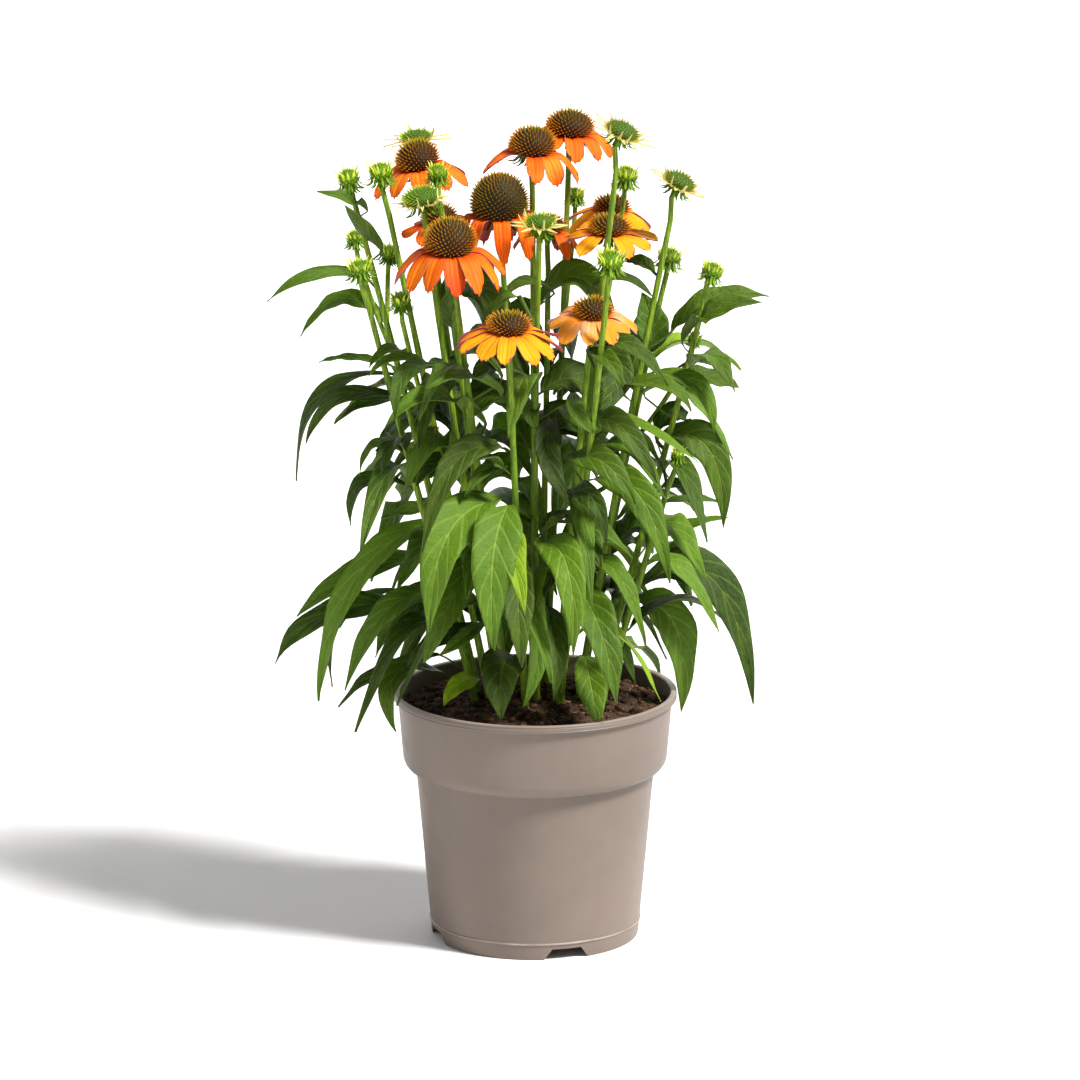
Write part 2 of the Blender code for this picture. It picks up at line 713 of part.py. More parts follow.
def fit_leaf(leaf, stems):
    """The first stem, turn and rise that leave the leaf clear of the rest."""
    choices = entry_choices(leaf, stems)
    for turn, rise in TRIALS:
        trial = leaf.moved(turn, rise)
        verts, faces = leaf_blade(trial.root, trial.crest, trial.tip, trial.width, trial.facing, GAP)
        for reach, _, stem, spot in choices:
            if not is_clear(verts, faces, lambda s: s.node == stem.node and s.role == "tube"):
                continue
            if reach < 7.0:
                root = spot + (trial.crest - spot).normalized() * 5.0
            else:
                root = trial.root
            wide = leaf_blade(root, trial.crest, trial.tip, trial.width,
                              trial.facing, GAP, entry=spot)
            fine = leaf_blade(root, trial.crest, trial.tip, trial.width,
                              trial.facing, 0.0, entry=spot)
            if is_sound(*fine) and is_clear(*wide, lambda s: s.node == stem.node):
                return stem, fine
    return None


def to_world(frame, reach, height, azimuth):
    point, axis, front, right = frame
    a = math.radians(azimuth)
    out = front * math.cos(a) + right * math.sin(a)
    return point + out * reach + axis * height


def petal_blade(frame, azimuth, core, reach, drop, width, style, grow=0.0):
    """One ray: flat under the cone, then out and down to its tip."""
    start = 0.56 * core
    knee = 1.08 * core
    shares = (0.0, 0.34, 1.0)
    stations = []
    across = (to_world(frame, 1.0, 0.0, azimuth + 90.0) - frame[0]).normalized()
    for k, share in enumerate(shares):
        if k == 0:
            out, down, wide = start, -0.85, 0.36
        else:
            out = knee + (reach - knee) * share
            down = drop * share ** 1.4 - 0.75
            wide = 1.0 if k == 1 else 0.66
        spot = to_world(frame, out, -down, azimuth)
        thick = 0.7 if k == 0 else 1.1
        stations.append([spot, None, across, max(2.2, wide * width), thick, 0.0])
    for k, row in enumerate(stations):
        before = stations[max(0, k - 1)][0]
        after = stations[min(len(stations) - 1, k + 1)][0]
        row[1] = (after - before).normalized()
        if k == 1:
            row[5] = -0.07 * width if style == "bloom" else 0.1 * width
    if style == "bloom":
        verts, faces = blade_mesh(stations, None, grow)
        pull = stations[-1][1] * (0.09 * width)
        last = 4 * (len(stations) - 1)
        verts[last + 1] = verts[last + 1] - pull
        verts[last + 3] = verts[last + 3] - pull
        return verts, faces
    return spike_mesh(stations, grow)


def spike_mesh(stations, grow):
    """A thin three-sided ray with a pointed end."""
    verts = []
    for centre, along, side, width, thick, _ in stations[:2]:
        up = side.cross(along).normalized()
        half = width / 2 + grow
        deep = thick * 0.45 + grow
        verts += [centre - side * half + up * deep, centre + side * half + up * deep, centre - up * deep]
    verts.append(stations[-1][0] + stations[-1][1] * 2.0)
    faces = [(0, 1, 2), (3, 6, 4), (4, 6, 5), (5, 6, 3)]
    faces += [(0, 3, 4, 1), (1, 4, 5, 2), (2, 5, 3, 0)]
    return verts, faces


def ring_disc(name, frame, radius, low, high, sides, turn, group):
    """A thin disc with one flat side for each ray."""
    verts = []
    corner = radius / math.cos(math.pi / sides)
    for height in (low, high):
        for k in range(sides):
            verts.append(to_world(frame, corner, height, turn + 360.0 * (k + 0.5) / sides))
    faces = [tuple(range(sides))[::-1], tuple(range(sides, 2 * sides))]
    for k in range(sides):
        n = (k + 1) % sides
        faces.append((k, n, sides + n, sides + k))
    return mesh_object(name, verts, faces, group)


def build_petals(head, frame, group):
    name, kind, _, _, _, core, _, reach, drop, width, count = head
    node = "rays_" + name
    rng = random.Random(SEED * 7 + int(name))
    first = rng.uniform(-8.0, 8.0)
    base = ring_disc(node, frame, 0.62 * core, 0.35, 1.35, count, first, group)
    pieces = []
    for k in range(count):
        azimuth = first + 360.0 * k / count + rng.uniform(-1.2, 1.2)
        far = reach * rng.uniform(0.9, 1.06)
        fall = drop + rng.uniform(-2.5, 3.5) * (1.0 if kind == "bloom" else 0.7)
        for turn, extra in ((0, 0), (5, 0), (-5, 0), (0, 5), (0, -5), (8, 4), (-8, 4), (0, 10)):
            spec = (frame, azimuth + turn, core, far, fall + extra, width, kind)
            verts, faces = petal_blade(*spec, GAP)
            own = node
            if is_clear(verts, faces, lambda s: s.node == own and s.role != "ray"):
                verts, faces = petal_blade(*spec)
                pieces.append(mesh_object("ray", verts, faces, group))
                break
    for piece in pieces:
        remember_object(node, "petal", piece)
    join_union(base, pieces, SOLVER)
    base.data.materials.append(make_material(petal_material(name, kind)))
    return base


def petal_material(name, kind):
    if kind == "open":
        return "ray_cream"
    if name in AMBER:
        return "petal_amber"
    if name in BLUSH:
        return "petal_blush"
    return "petal_orange"


def spiky_dome(name, frame, radius, height, low, columns, rows, spike, lean, group):
    """A closed dome whose cells are drawn out to points."""
    point, axis, _, _ = frame
    bm = bmesh.new()
    rings = []
    for j in range(rows + 1):
        share = j / rows
        angle = math.radians(-28.0 + 104.0 * share)
        wide = radius * math.cos(angle) / math.cos(math.radians(0.0))
        tall = low + height * (math.sin(angle) + 0.469) / 1.469
        ring = []
        for k in range(columns):
            a = 360.0 * (k + 0.5 * (j % 2)) / columns
            ring.append(bm.verts.new(to_world(frame, wide, tall, a)))
        rings.append(ring)
    cells = []
    for j in range(rows):
        for k in range(columns):
            n = (k + 1) % columns
            if j % 2 == 0:
                lower = (rings[j][k], rings[j][n])
                upper = (rings[j + 1][k], rings[j + 1][n])
            else:
                lower = (rings[j][k], rings[j][n])
                upper = (rings[j + 1][n], rings[j + 1][(n + 1) % columns])
            cells.append(bm.faces.new((lower[0], lower[1], upper[1], upper[0])))
    bottom = bm.faces.new(rings[0][::-1])
    top = bm.faces.new(rings[-1])
    bmesh.ops.recalc_face_normals(bm, faces=bm.faces)
    made = bmesh.ops.poke(bm, faces=cells + [top], offset=0.0, center_mode="MEAN")
    middle = point + axis * (low + height * 0.25)
    for vert in made["verts"]:
        out = (vert.co - middle).normalized()
        vert.co += (out + axis * lean).normalized() * spike
    bmesh.ops.triangulate(bm, faces=[bottom])
    bmesh.ops.recalc_face_normals(bm, faces=bm.faces)
    verts = [v.co.copy() for v in bm.verts]
    bm.verts.index_update()
    faces = [tuple(v.index for v in f.verts) for f in bm.faces]
    bm.free()
    return mesh_object(name, verts, faces, group)


def build_cone(head, frame, group):
    name, kind, _, _, _, core, tall, _, _, _, _ = head
    node = "cone_" + name
    if kind == "bloom":
        cone = spiky_dome(node, frame, core * 0.93, tall * 0.93, 1.8, 10, 4, 2.8, 0.4, group)
        cone.data.materials.append(make_material("cone_brown"))
    else:
        cone = spiky_dome(node, frame, core * 0.95, tall * 0.9, 1.8, 9, 2, 1.6, 0.4, group)
        cone.data.materials.append(make_material("disc_green"))
    remember_object(node, "cone", cone)
    return cone


def bract_pieces(frame, core, count, group, rng):
    """Narrow green bracts that curl back under the head."""
    made = []
    for k in range(count):
        azimuth = 360.0 * k / count + rng.uniform(-10.0, 10.0)
        across = (to_world(frame, 1.0, 0.0, azimuth + 90.0) - frame[0]).normalized()
        a = to_world(frame, 0.36 * core, -1.9, azimuth)
        b = to_world(frame, 0.86 * core, -2.6, azimuth)
        tip = to_world(frame, 1.0 * core + 0.5, -2.6 - rng.uniform(3.0, 5.5), azimuth)
        down = frame[1] * -1.3
        verts = [a - across * 1.8, a + across * 1.8, a + down]
        verts += [b - across * 1.8, b + across * 1.8, b + down, tip]
        faces = [(0, 1, 2), (3, 6, 4), (4, 6, 5), (5, 6, 3)]
        faces += [(0, 3, 4, 1), (1, 4, 5, 2), (2, 5, 3, 0)]
        made.append(mesh_object("bract", verts, faces, group))
    return made


def bud_pieces(frame, core, tall, group, rng):
    bud = spiky_dome("bud", frame, core * 0.86, tall, -1.6, 7, 2, 2.8, 0.9, group)
    return [bud]


def shoot_path(stem, height, point, axis):
    """A side shoot that leaves its stem and bends up to its own head."""
    start = stem.at(height)
    end = Vector(point)
    neck = end - axis * 12.0
    lead = start + (stem.at(height + 20.0) - start).normalized() * 6.0
    points = [start, lead.lerp(neck, 0.06)]
    for share in (0.35, 0.7):
        middle = quad_curve(start, start.lerp(neck, 0.5) + Vector((0, 0, -4.0)), neck, share)
        points.append(middle)
    points = points[:1] + points[2:]
    points.append(neck)
    points.append(end - axis * 4.0)
    points.append(end - axis * 1.2)
    points.append(end)
    return points


def make_stems():
    stems = []
    for row in HEADS:
        axis = head_axis(row[3], row[4])
        stems.append(Stem(row[0], row[2], axis, 0.6 * row[5]))
    for name, point, right, front, core, _ in BUDS:
        stems.append(Stem(name, point, head_axis(right, front), 0.45 * core))
    return stems


def place_stems(stems, group):
    """Tubes, side shoots, buds and bracts, kept apart until the leaves are in."""
    parts = {}
    by_name = {stem.name: stem for stem in stems}
    for stem in stems:
        points, radii = stem.path()
        rod = tube(stem.node, points, radii, group)
        parts[stem.name] = [rod]
        remember_object(stem.node, "tube", rod)
    for row in HEADS:
        rng = random.Random(SEED + int(row[0]))
        frame = head_frame(row[2], by_name[row[0]].axis)
        for piece in bract_pieces(frame, row[5], 5 if row[1] == "bloom" else 6, group, rng):
            parts[row[0]].append(piece)
            remember_object("stem_" + row[0], "bract", piece)
    for name, point, right, front, core, tall in BUDS:
        rng = random.Random(SEED + int(name))
        frame = head_frame(point, head_axis(right, front))
        for piece in bud_pieces(frame, core, tall, group, rng):
            parts[name].append(piece)
            remember_object("stem_" + name, "bud", piece)
    for count, (name, height, point, right, front, core, tall) in enumerate(SHOOTS):
        rng = random.Random(SEED + 60 + count)
        axis = head_axis(right, front)
        points = shoot_path(by_name[name], height, point, axis)
        radii = [1.7] * (len(points) - 3) + [1.7, 0.45 * core, 0.42 * core]
        rod = tube("shoot", points, radii, group)
        parts[name].append(rod)
        remember_object("stem_" + name, "shoot", rod)
        frame = head_frame(point, axis)
        for piece in bud_pieces(frame, core, tall, group, rng):
            parts[name].append(piece)
            remember_object("stem_" + name, "bud", piece)
    return parts


def inner_leaf(rng, stems):
    """A leaf that grows out of the clump, for the middle and the sides."""
    stem = rng.choice(stems)
    z = rng.uniform(195.0, min(405.0, stem.point.z - 60.0))
    start = stem.at(z)
    outward = math.degrees(math.atan2(start.x, start.y + 6.0))
    azimuth = outward + rng.uniform(-75.0, 75.0)
    out = Vector((math.sin(math.radians(azimuth)), math.cos(math.radians(azimuth)), 0.0))
    size = rng.uniform(56.0, 92.0)
    if z > 330.0:
        size *= 0.75
    crest = start + out * size * 0.5 + Vector((0.0, 0.0, size * rng.uniform(0.12, 0.3)))
    tip = start + out * size + Vector((0.0, 0.0, -size * rng.uniform(0.0, 0.55)))
    root = start + (crest - start).normalized() * 5.0
    return Leaf(root, crest, tip, rng.uniform(13.0, 22.0), 0.0)


def back_leaf(rng, stems):
    """A broad leaf that hangs across the back of the clump."""
    stem = rng.choice([s for s in stems if s.point.y > BACK_Y])
    z = rng.uniform(205.0, min(425.0, stem.point.z - 60.0))
    start = stem.at(z)
    azimuth = rng.choice((-1.0, 1.0)) * rng.uniform(35.0, 120.0)
    out = Vector((math.sin(math.radians(azimuth)), math.cos(math.radians(azimuth)), 0.0))
    size = rng.uniform(50.0, 80.0)
    crest = start + out * size * 0.45 + Vector((0.0, 0.0, size * rng.uniform(0.10, 0.3)))
    tip = start + out * size * 0.85 + Vector((0.0, 0.0, -size * rng.uniform(0.15, 0.8)))
    root = start + (crest - start).normalized() * 5.0
    return Leaf(root, crest, tip, rng.uniform(17.0, 26.0), 0.6)


def place_leaves(stems, parts, group):
    missed = 0
    for number, (root, crest, tip, width, facing) in enumerate(LEAVES):
        found = fit_leaf(Leaf(root, crest, tip, width, facing), stems)
        missed += add_leaf(found, parts, group)
        if found is None:
            print("leaf left out:", number, root, tip)
    rng = random.Random(SEED + 900)
    for _ in range(INNER_LEAVES):
        found = fit_leaf(inner_leaf(rng, stems), stems)
        missed += add_leaf(found, parts, group)
    for _ in range(BACK_LEAVES):
        found = fit_leaf(back_leaf(rng, stems), stems)
        missed += add_leaf(found, parts, group)
    return missed


def add_leaf(found, parts, group):
    if found is None:
        return 1
    stem, (verts, faces) = found
    leaf = mesh_object("leaf", verts, faces, group)
    parts[stem.name].append(leaf)
    remember_object(stem.node, "leaf", leaf)
    return 0


def main():
    clear_scene()
    group = make_collection(NAME)
    stems = make_stems()
    build_pot(group)
    parts = place_stems(stems, group)
    build_soil(stems, group)
    frames = {}
    for row in HEADS:
        frames[row[0]] = head_frame(row[2], head_axis(row[3], row[4]))
        build_cone(row, frames[row[0]], group)
    for row in HEADS:
        build_petals(row, frames[row[0]], group)
    missed = place_leaves(stems, parts, group)
    foliage = make_material("foliage")
    for name in parts:
        rod = parts[name][0]
        join_union(rod, parts[name][1:], SOLVER)
        rod.data.materials.clear()
        rod.data.materials.append(foliage)
    print("leaves left out:", missed)


main()
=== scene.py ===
"""Looks for the potted coneflower: pot, peat, leafy stems, rays, cones and the studio."""

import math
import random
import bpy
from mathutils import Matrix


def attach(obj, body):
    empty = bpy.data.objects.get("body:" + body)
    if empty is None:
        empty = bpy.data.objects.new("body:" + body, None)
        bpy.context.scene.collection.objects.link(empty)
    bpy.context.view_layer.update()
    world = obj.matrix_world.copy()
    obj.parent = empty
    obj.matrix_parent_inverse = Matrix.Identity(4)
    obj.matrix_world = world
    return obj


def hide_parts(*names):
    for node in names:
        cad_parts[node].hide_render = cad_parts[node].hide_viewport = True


bl_info = {
    "name": "Potted Coneflower",
    "version": (1, 0, 0),
    "blender": (4, 5, 0),
    "location": "View3D > Sidebar > Coneflower",
    "description": "Builds the detailed coneflower plant and its pot around the packed solids",
    "category": "Object",
}

from collections import namedtuple

import bmesh
import bpy
from bpy.props import FloatProperty, FloatVectorProperty, IntProperty, PointerProperty
from mathutils import Matrix, Vector, noise
from mathutils.kdtree import KDTree

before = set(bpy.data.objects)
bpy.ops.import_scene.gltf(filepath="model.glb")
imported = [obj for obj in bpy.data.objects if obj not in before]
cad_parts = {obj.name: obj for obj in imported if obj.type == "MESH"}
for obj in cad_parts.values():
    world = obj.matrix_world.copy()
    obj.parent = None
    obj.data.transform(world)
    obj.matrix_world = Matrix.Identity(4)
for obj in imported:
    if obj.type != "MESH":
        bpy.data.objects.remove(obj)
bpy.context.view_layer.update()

MM = 0.001
UP = Vector((0.0, 0.0, 1.0))
# the photo's line of sight, and the turn in degrees from one bristle to the next
VIEW = Vector((0.0, 0.970, -0.242))
GOLDEN = 137.508

# material slots of the foliage and of the heads
STEM_SLOT, BLADE_SLOT, UNDER_SLOT, BRACT_SLOT = 0, 1, 2, 3
RAY_SLOT, RAY_UNDER_SLOT = 0, 1
CORE_SLOT, BRISTLE_SLOT = 0, 1
CRUMB_SLOT, STRAW_SLOT = 0, 1

# how near a corner of a solid a tip has to lie to be that leaf's or ray's, in millimetres
LEAF_MATCH = 0.12
BLOOM_MATCH = 1.8
OPEN_MATCH = 2.4

# the same driving sizes as the solids, in millimetres
SEED = 41
STEM_BOTTOM_Z = 141.0
STEM_STRAIGHT_Z = 168.0
STEM_TOP_Z = 535.0
STEM_SPREAD_LOW = 0.30
STEM_LOW_R = 2.6
STEM_TOP_R = 1.9
WANDER = 2.0
NECK = 16.0
BLOOM_FLARE = 0.6
BUD_FLARE = 0.45

# point is where the head starts, right and front are its lean in degrees, core and tall are
# its radius and height; reach, drop, width and count are those of the rays
Head = namedtuple("Head", "name kind point right front core tall reach drop width count")
Bud = namedtuple("Bud", "name point right front core tall")
Shoot = namedtuple("Shoot", "stem height point right front core tall")

HEADS = [Head(*row) for row in (
    ("01", "bloom", (23, 58, 535), 4, 4, 17.0, 17.0, 31, 11, 11.0, 10),
    ("02", "bloom", (-2, 22, 529), 3, 3, 16.5, 19.0, 35, 15, 11.0, 10),
    ("03", "bloom", (-77, 38, 516), -8, 4, 15.5, 20.0, 34, 13, 10.5, 10),
    ("04", "bloom", (-23, -2, 492), -2, 4, 20.5, 32.0, 30, 26, 10.0, 9),
    ("05", "bloom", (-55, -58, 479), 0, 6, 18.0, 25.0, 36, 20, 11.0, 12),
    ("06", "bloom", (-17, -78, 430), 2, 6, 14.5, 13.0, 37, 11, 11.0, 12),
    ("07", "bloom", (49, 8, 478), 2, 6, 14.0, 12.0, 33, 6, 10.5, 11),
    ("08", "bloom", (51, 62, 481), 4, 4, 12.5, 12.0, 30, 11, 10.0, 10),
    ("09", "bloom", (38, -34, 431), 3, 8, 13.5, 12.0, 33, 8, 10.5, 11),
    ("10", "bloom", (-63, 14, 484), -10, 4, 12.0, 12.0, 29, 6, 9.5, 10),
    ("11", "bloom", (9, 34, 474), 6, 4, 11.0, 11.0, 25, 12, 9.0, 9),
    ("12", "open", (-79, 66, 529), -6, 4, 10.5, 6.5, 25, -1, 3.2, 10),
    ("13", "open", (-74, -22, 505), -10, 8, 13.5, 9.0, 19, -3, 2.8, 11),
    ("14", "open", (3, -40, 492), 2, 6, 9.5, 8.0, 20, -5, 2.8, 10),
    ("15", "open", (56, -22, 550), 24, 10, 12.0, 8.0, 25, -3, 3.2, 11),
    ("16", "open", (94, 4, 511), 26, 8, 11.5, 8.0, 22, -4, 3.4, 10),
)]
# buds on their own stems, and buds on side shoots of another stem
BUDS = [Bud(*row) for row in (
    ("17", (-122, -6, 515), -12, 6, 9.3, 12.0),
    ("18", (-101, -16, 521), -6, 6, 10.0, 12.0),
    ("19", (-64, -8, 519), 0, 4, 8.6, 11.0),
    ("20", (-115, -26, 459), -6, 8, 9.8, 11.0),
    ("21", (49, -70, 473), 4, 10, 11.4, 12.5),
    ("22", (89, 30, 455), 10, 6, 10.4, 11.0),
    ("23", (116, -6, 453), 20, 4, 9.0, 11.0),
    ("24", (94, -28, 335), 8, 8, 5.6, 8.0),
)]
SHOOTS = [Shoot(*row) for row in (
    ("17", 395, (-119, 14, 472), -8, 4, 7.4, 9.0),
    ("17", 420, (-97, 26, 459), 4, 4, 8.2, 10.0),
    ("18", 318, (-88, -36, 440), -4, 6, 8.4, 10.0),
    ("13", 262, (-68, -32, 352), 4, 8, 5.6, 7.0),
    ("08", 392, (60, 38, 508), 4, 4, 10.4, 12.0),
    ("01", 400, (27, 82, 487), 2, -4, 7.6, 9.0),
    ("22", 330, (106, 18, 404), 12, 4, 5.4, 7.0),
)]

# leaves: root, crest, tip, width, and how far the blade turns to face the front
LEAVES = [
    ((-109, 0, 448), (-143, -8, 455), (-177, -8, 436), 11, .5),
    ((-97, 8, 414), (-127, 8, 434), (-156, 6, 408), 13, .6),
    ((-91, -5, 388), (-142, -15, 373), (-159, -10, 314), 13, .5),
    ((-83, -15, 370), (-127, -35, 378), (-151, -40, 347), 11, .5),
    ((-82, 5, 366), (-113, -5, 367), (-133, -5, 352), 9, .5),
    ((-95, 10, 388), (-122, 15, 393), (-144, 18, 389), 7, .4),
    ((-78, -10, 400), (-100, -22, 408), (-115, -28, 397), 9, .4),
    ((-63, -20, 395), (-91, -45, 406), (-109, -55, 396), 8, .5),
    ((-65, -25, 397), (-92, -60, 396), (-99, -70, 367), 11, .7),
    ((-32, -30, 357), (-67, -60, 385), (-98, -72, 366), 15, .4),
    ((-21, -40, 380), (-45, -75, 401), (-71, -90, 395), 12, .4),
    ((-80, 0, 326), (-105, -5, 339), (-117, -5, 317), 8, .4),
    ((-57, 10, 338), (-77, 15, 341), (-95, 20, 335), 7, .3),
    ((-49, -20, 335), (-73, -50, 350), (-93, -62, 316), 15, .6),
    ((-50, -18, 322), (-67, -36, 337), (-83, -46, 326), 14, .5),
    ((-17, -45, 343), (-51, -80, 345), (-74, -92, 286), 17, .8),
    ((-83, 5, 307), (-115, -5, 313), (-123, -5, 282), 11, .5),
    ((-60, 15, 292), (-80, 10, 291), (-103, 10, 284), 12, .5),
    ((-83, 20, 294), (-92, 25, 279), (-93, 25, 257), 5, .3),
    ((-57, 0, 289), (-109, -40, 247), (-134, -45, 159), 18, .7),
    ((-70, 15, 257), (-120, 0, 249), (-159, -5, 220), 16, .7),
    ((-70, 10, 224), (-137, -5, 223), (-174, -10, 189), 17, .7),
    ((-90, 25, 231), (-130, 30, 209), (-137, 30, 162), 12, .4),
    ((-58, -15, 241), (-100, -45, 233), (-126, -50, 181), 15, .7),
    ((-49, 0, 237), (-82, -20, 230), (-101, -30, 195), 19, .7),
    ((-57, 0, 178), (-98, -25, 190), (-131, -30, 164), 11, .5),
    ((-63, -10, 195), (-95, -50, 188), (-92, -62, 156), 14, .7),
    ((-23, -40, 309), (-57, -85, 296), (-69, -95, 233), 28, .9),
    ((-17, -66, 312), (-27, -101, 284), (-27, -108, 224), 27, 1),
    ((-14, -40, 275), (-11, -88, 253), (-9, -95, 209), 19, 1),
    ((-33, -20, 273), (-53, -70, 244), (-67, -82, 208), 19, .9),
    ((-19, -40, 331), (-33, -62, 334), (-46, -70, 318), 9, .6),
    ((12, -25, 361), (9, -60, 343), (23, -68, 312), 15, 1),
    ((3, -15, 369), (-3, -35, 366), (3, -42, 355), 9, .8),
    ((17, -30, 370), (28, -55, 368), (39, -62, 359), 11, .6),
    ((43, 0, 405), (43, -25, 388), (26, -35, 368), 21, 1),
    ((35, -40, 413), (62, -62, 422), (87, -72, 399), 12, .6),
    ((34, -40, 411), (49, -75, 410), (57, -85, 395), 11, .7),
    ((25, -42, 382), (28, -68, 374), (38, -75, 362), 10, .8),
    ((30, -25, 360), (57, -60, 370), (80, -72, 340), 16, .8),
    ((37, -20, 337), (62, -55, 348), (86, -65, 315), 13, .6),
    ((20, -30, 335), (45, -68, 341), (66, -78, 315), 17, .9),
    ((37, -5, 314), (69, -40, 312), (89, -52, 255), 20, .9),
    ((20, -30, 312), (38, -75, 318), (47, -85, 289), 12, .9),
    ((4, -25, 282), (38, -50, 300), (75, -60, 278), 12, .4),
    ((1, -35, 278), (21, -90, 277), (25, -105, 219), 21, 1),
    ((25, -25, 250), (43, -75, 230), (54, -88, 182), 22, 1),
    ((30, -15, 261), (55, -50, 261), (73, -62, 215), 13, .5),
    ((58, 0, 239), (118, -10, 248), (146, -15, 162), 25, .9),
    ((63, 5, 229), (94, 0, 208), (98, -2, 147), 24, .9),
    ((43, 30, 185), (71, 50, 185), (86, 62, 156), 13, .3),
    ((90, 5, 384), (110, -5, 395), (130, -8, 385), 7, .3),
    ((87, 12, 380), (115, 20, 382), (135, 24, 377), 13, .6),
    ((77, -5, 387), (108, -25, 382), (118, -30, 352), 13, .5),
    ((47, -15, 378), (73, -48, 386), (89, -58, 368), 12, .4),
    ((80, 10, 339), (93, 15, 355), (105, 15, 343), 15, .7),
    ((80, 0, 341), (115, -15, 338), (125, -18, 284), 21, .9),
    ((77, 5, 301), (97, 0, 310), (107, -3, 291), 9, .4),
    ((77, 10, 292), (107, 10, 298), (128, 10, 292), 7, .3),
    ((75, 8, 266), (103, 0, 282), (129, -4, 288), 9, .6),
    ((43, -20, 367), (77, -55, 359), (107, -65, 341), 9, .3),
    ((89, 5, 410), (118, 10, 434), (155, 12, 435), 15, .7),
    ((97, 0, 405), (118, -12, 431), (150, -15, 437), 13, .7),
    ((77, 20, 397), (77, 25, 416), (71, 28, 434), 20, 1),
    ((37, 5, 443), (58, -5, 452), (79, -8, 438), 9, .3),
    ((13, 10, 437), (-10, 0, 446), (-35, -5, 420), 10, .3),
    ((-10, -10, 439), (-20, -20, 441), (-30, -26, 428), 9, .4),
    ((80, 10, 453), (69, 18, 458), (57, 24, 456), 9, .6),
    ((-110, -5, 496), (-123, -15, 507), (-143, -20, 512), 8, .7),
    ((-101, -2, 468), (-113, -12, 486), (-125, -20, 503), 10, .7),
    ((-71, 5, 461), (-79, 0, 479), (-82, -3, 498), 9, .8),
    ((-49, 0, 412), (-57, -10, 431), (-53, -14, 449), 11, .8),
    ((-15, -30, 200), (-19, -70, 198), (-17, -86, 171), 25, 1),
    ((-3, -30, 231), (2, -72, 210), (-8, -82, 178), 11, .9),
    ((7, -20, 232), (15, -62, 215), (12, -72, 181), 13, .9),
    ((33, -25, 199), (38, -66, 185), (41, -80, 166), 18, 1),
    ((27, -15, 196), (37, -45, 192), (47, -56, 184), 15, .8),
    ((50, 0, 216), (59, -15, 198), (64, -20, 182), 7, .6),
    ((-38, -15, 180), (-51, -40, 182), (-61, -52, 171), 12, .8),
    ((-43, -5, 218), (-69, -40, 214), (-88, -50, 199), 13, .8),
    ((-33, -20, 221), (-49, -52, 217), (-63, -62, 208), 9, .7),
]
INNER_LEAVES = 96
BACK_LEAVES = 84
BACK_Y = 10.0
# blooms, cones and discs that differ in colour from the rest
AMBER = ("06", "07", "08")
BLUSH = ("09",)
DARK_CONES = ("04",)
TURNING_DISCS = ("15", "16")
# the turns (degrees) and rises (millimetres) that a leaf tries, and the turns and drops of a ray
TRIALS = [(0, 0), (5, 0), (-5, 0), (0, 6), (0, -6), (9, 4), (-9, 4), (9, -5), (-9, -5),
          (14, 0), (-14, 0), (0, 12), (0, -12), (19, 6), (-19, 6), (24, 0), (-24, 0)]
RAY_TRIALS = ((0, 0), (5, 0), (-5, 0), (0, 5), (0, -5), (8, 4), (-8, 4), (0, 10))

# fine shapes of the blades, in millimetres unless they are shares
LEAF_BREADTH = 1.18
BLADE_PEAK = 0.36
STALK_HALF = 1.15
RAY_BREADTH = 1.18
YOUNG_RAY_W = 2.8
BRACT_THICKNESS = 0.35
# leaves that end below this height and are shorter than this may have turned yellow
YELLOW_Z = 205.0
YELLOW_SIZE = 52.0

# rows of bracts: reach of root and tip as shares of the core, then heights
HEAD_BRACTS = ((0.5, 1.06, -0.6), (0.42, 0.88, -1.8))
BUD_BRACTS = ((0.62, 1.16, 0.24, -0.06), (0.5, 1.02, 0.10, -0.22), (0.4, 0.82, 0.02, -0.34))
BUD_BRACT_COUNT = 11
BUD_LOW = -1.6

# the dome of a cone: the rim's angle below its middle, and the turn from rim to crown
DOME_RIM = 26.0
DOME_TURN = 116.0
DOME_LOW = 0.438
CONE_LOW = 1.8


# settings

class PlantSizes(bpy.types.PropertyGroup):
    """Sizes of the fine detail, in metres."""

    leaf_thickness: FloatProperty(
        name="Leaf thickness", description="Thickness of a leaf blade",
        default=0.0005, unit="LENGTH")
    petal_thickness: FloatProperty(
        name="Petal thickness", description="Thickness of a ray petal",
        default=0.0004, unit="LENGTH")
    stem_sides: IntProperty(
        name="Stem sides", description="Number of sides of a stem", default=10, min=5, max=24)
    bristle_count: IntProperty(
        name="Bristles", description="Bristles on the largest seed cone",
        default=430, min=40, max=900)
    bristle_length: FloatProperty(
        name="Bristle length", description="How far a bristle stands out of its cone",
        default=0.0044, unit="LENGTH")
    soil_lumps: IntProperty(
        name="Peat lumps", description="Loose lumps on the peat", default=760, min=0, max=2000)


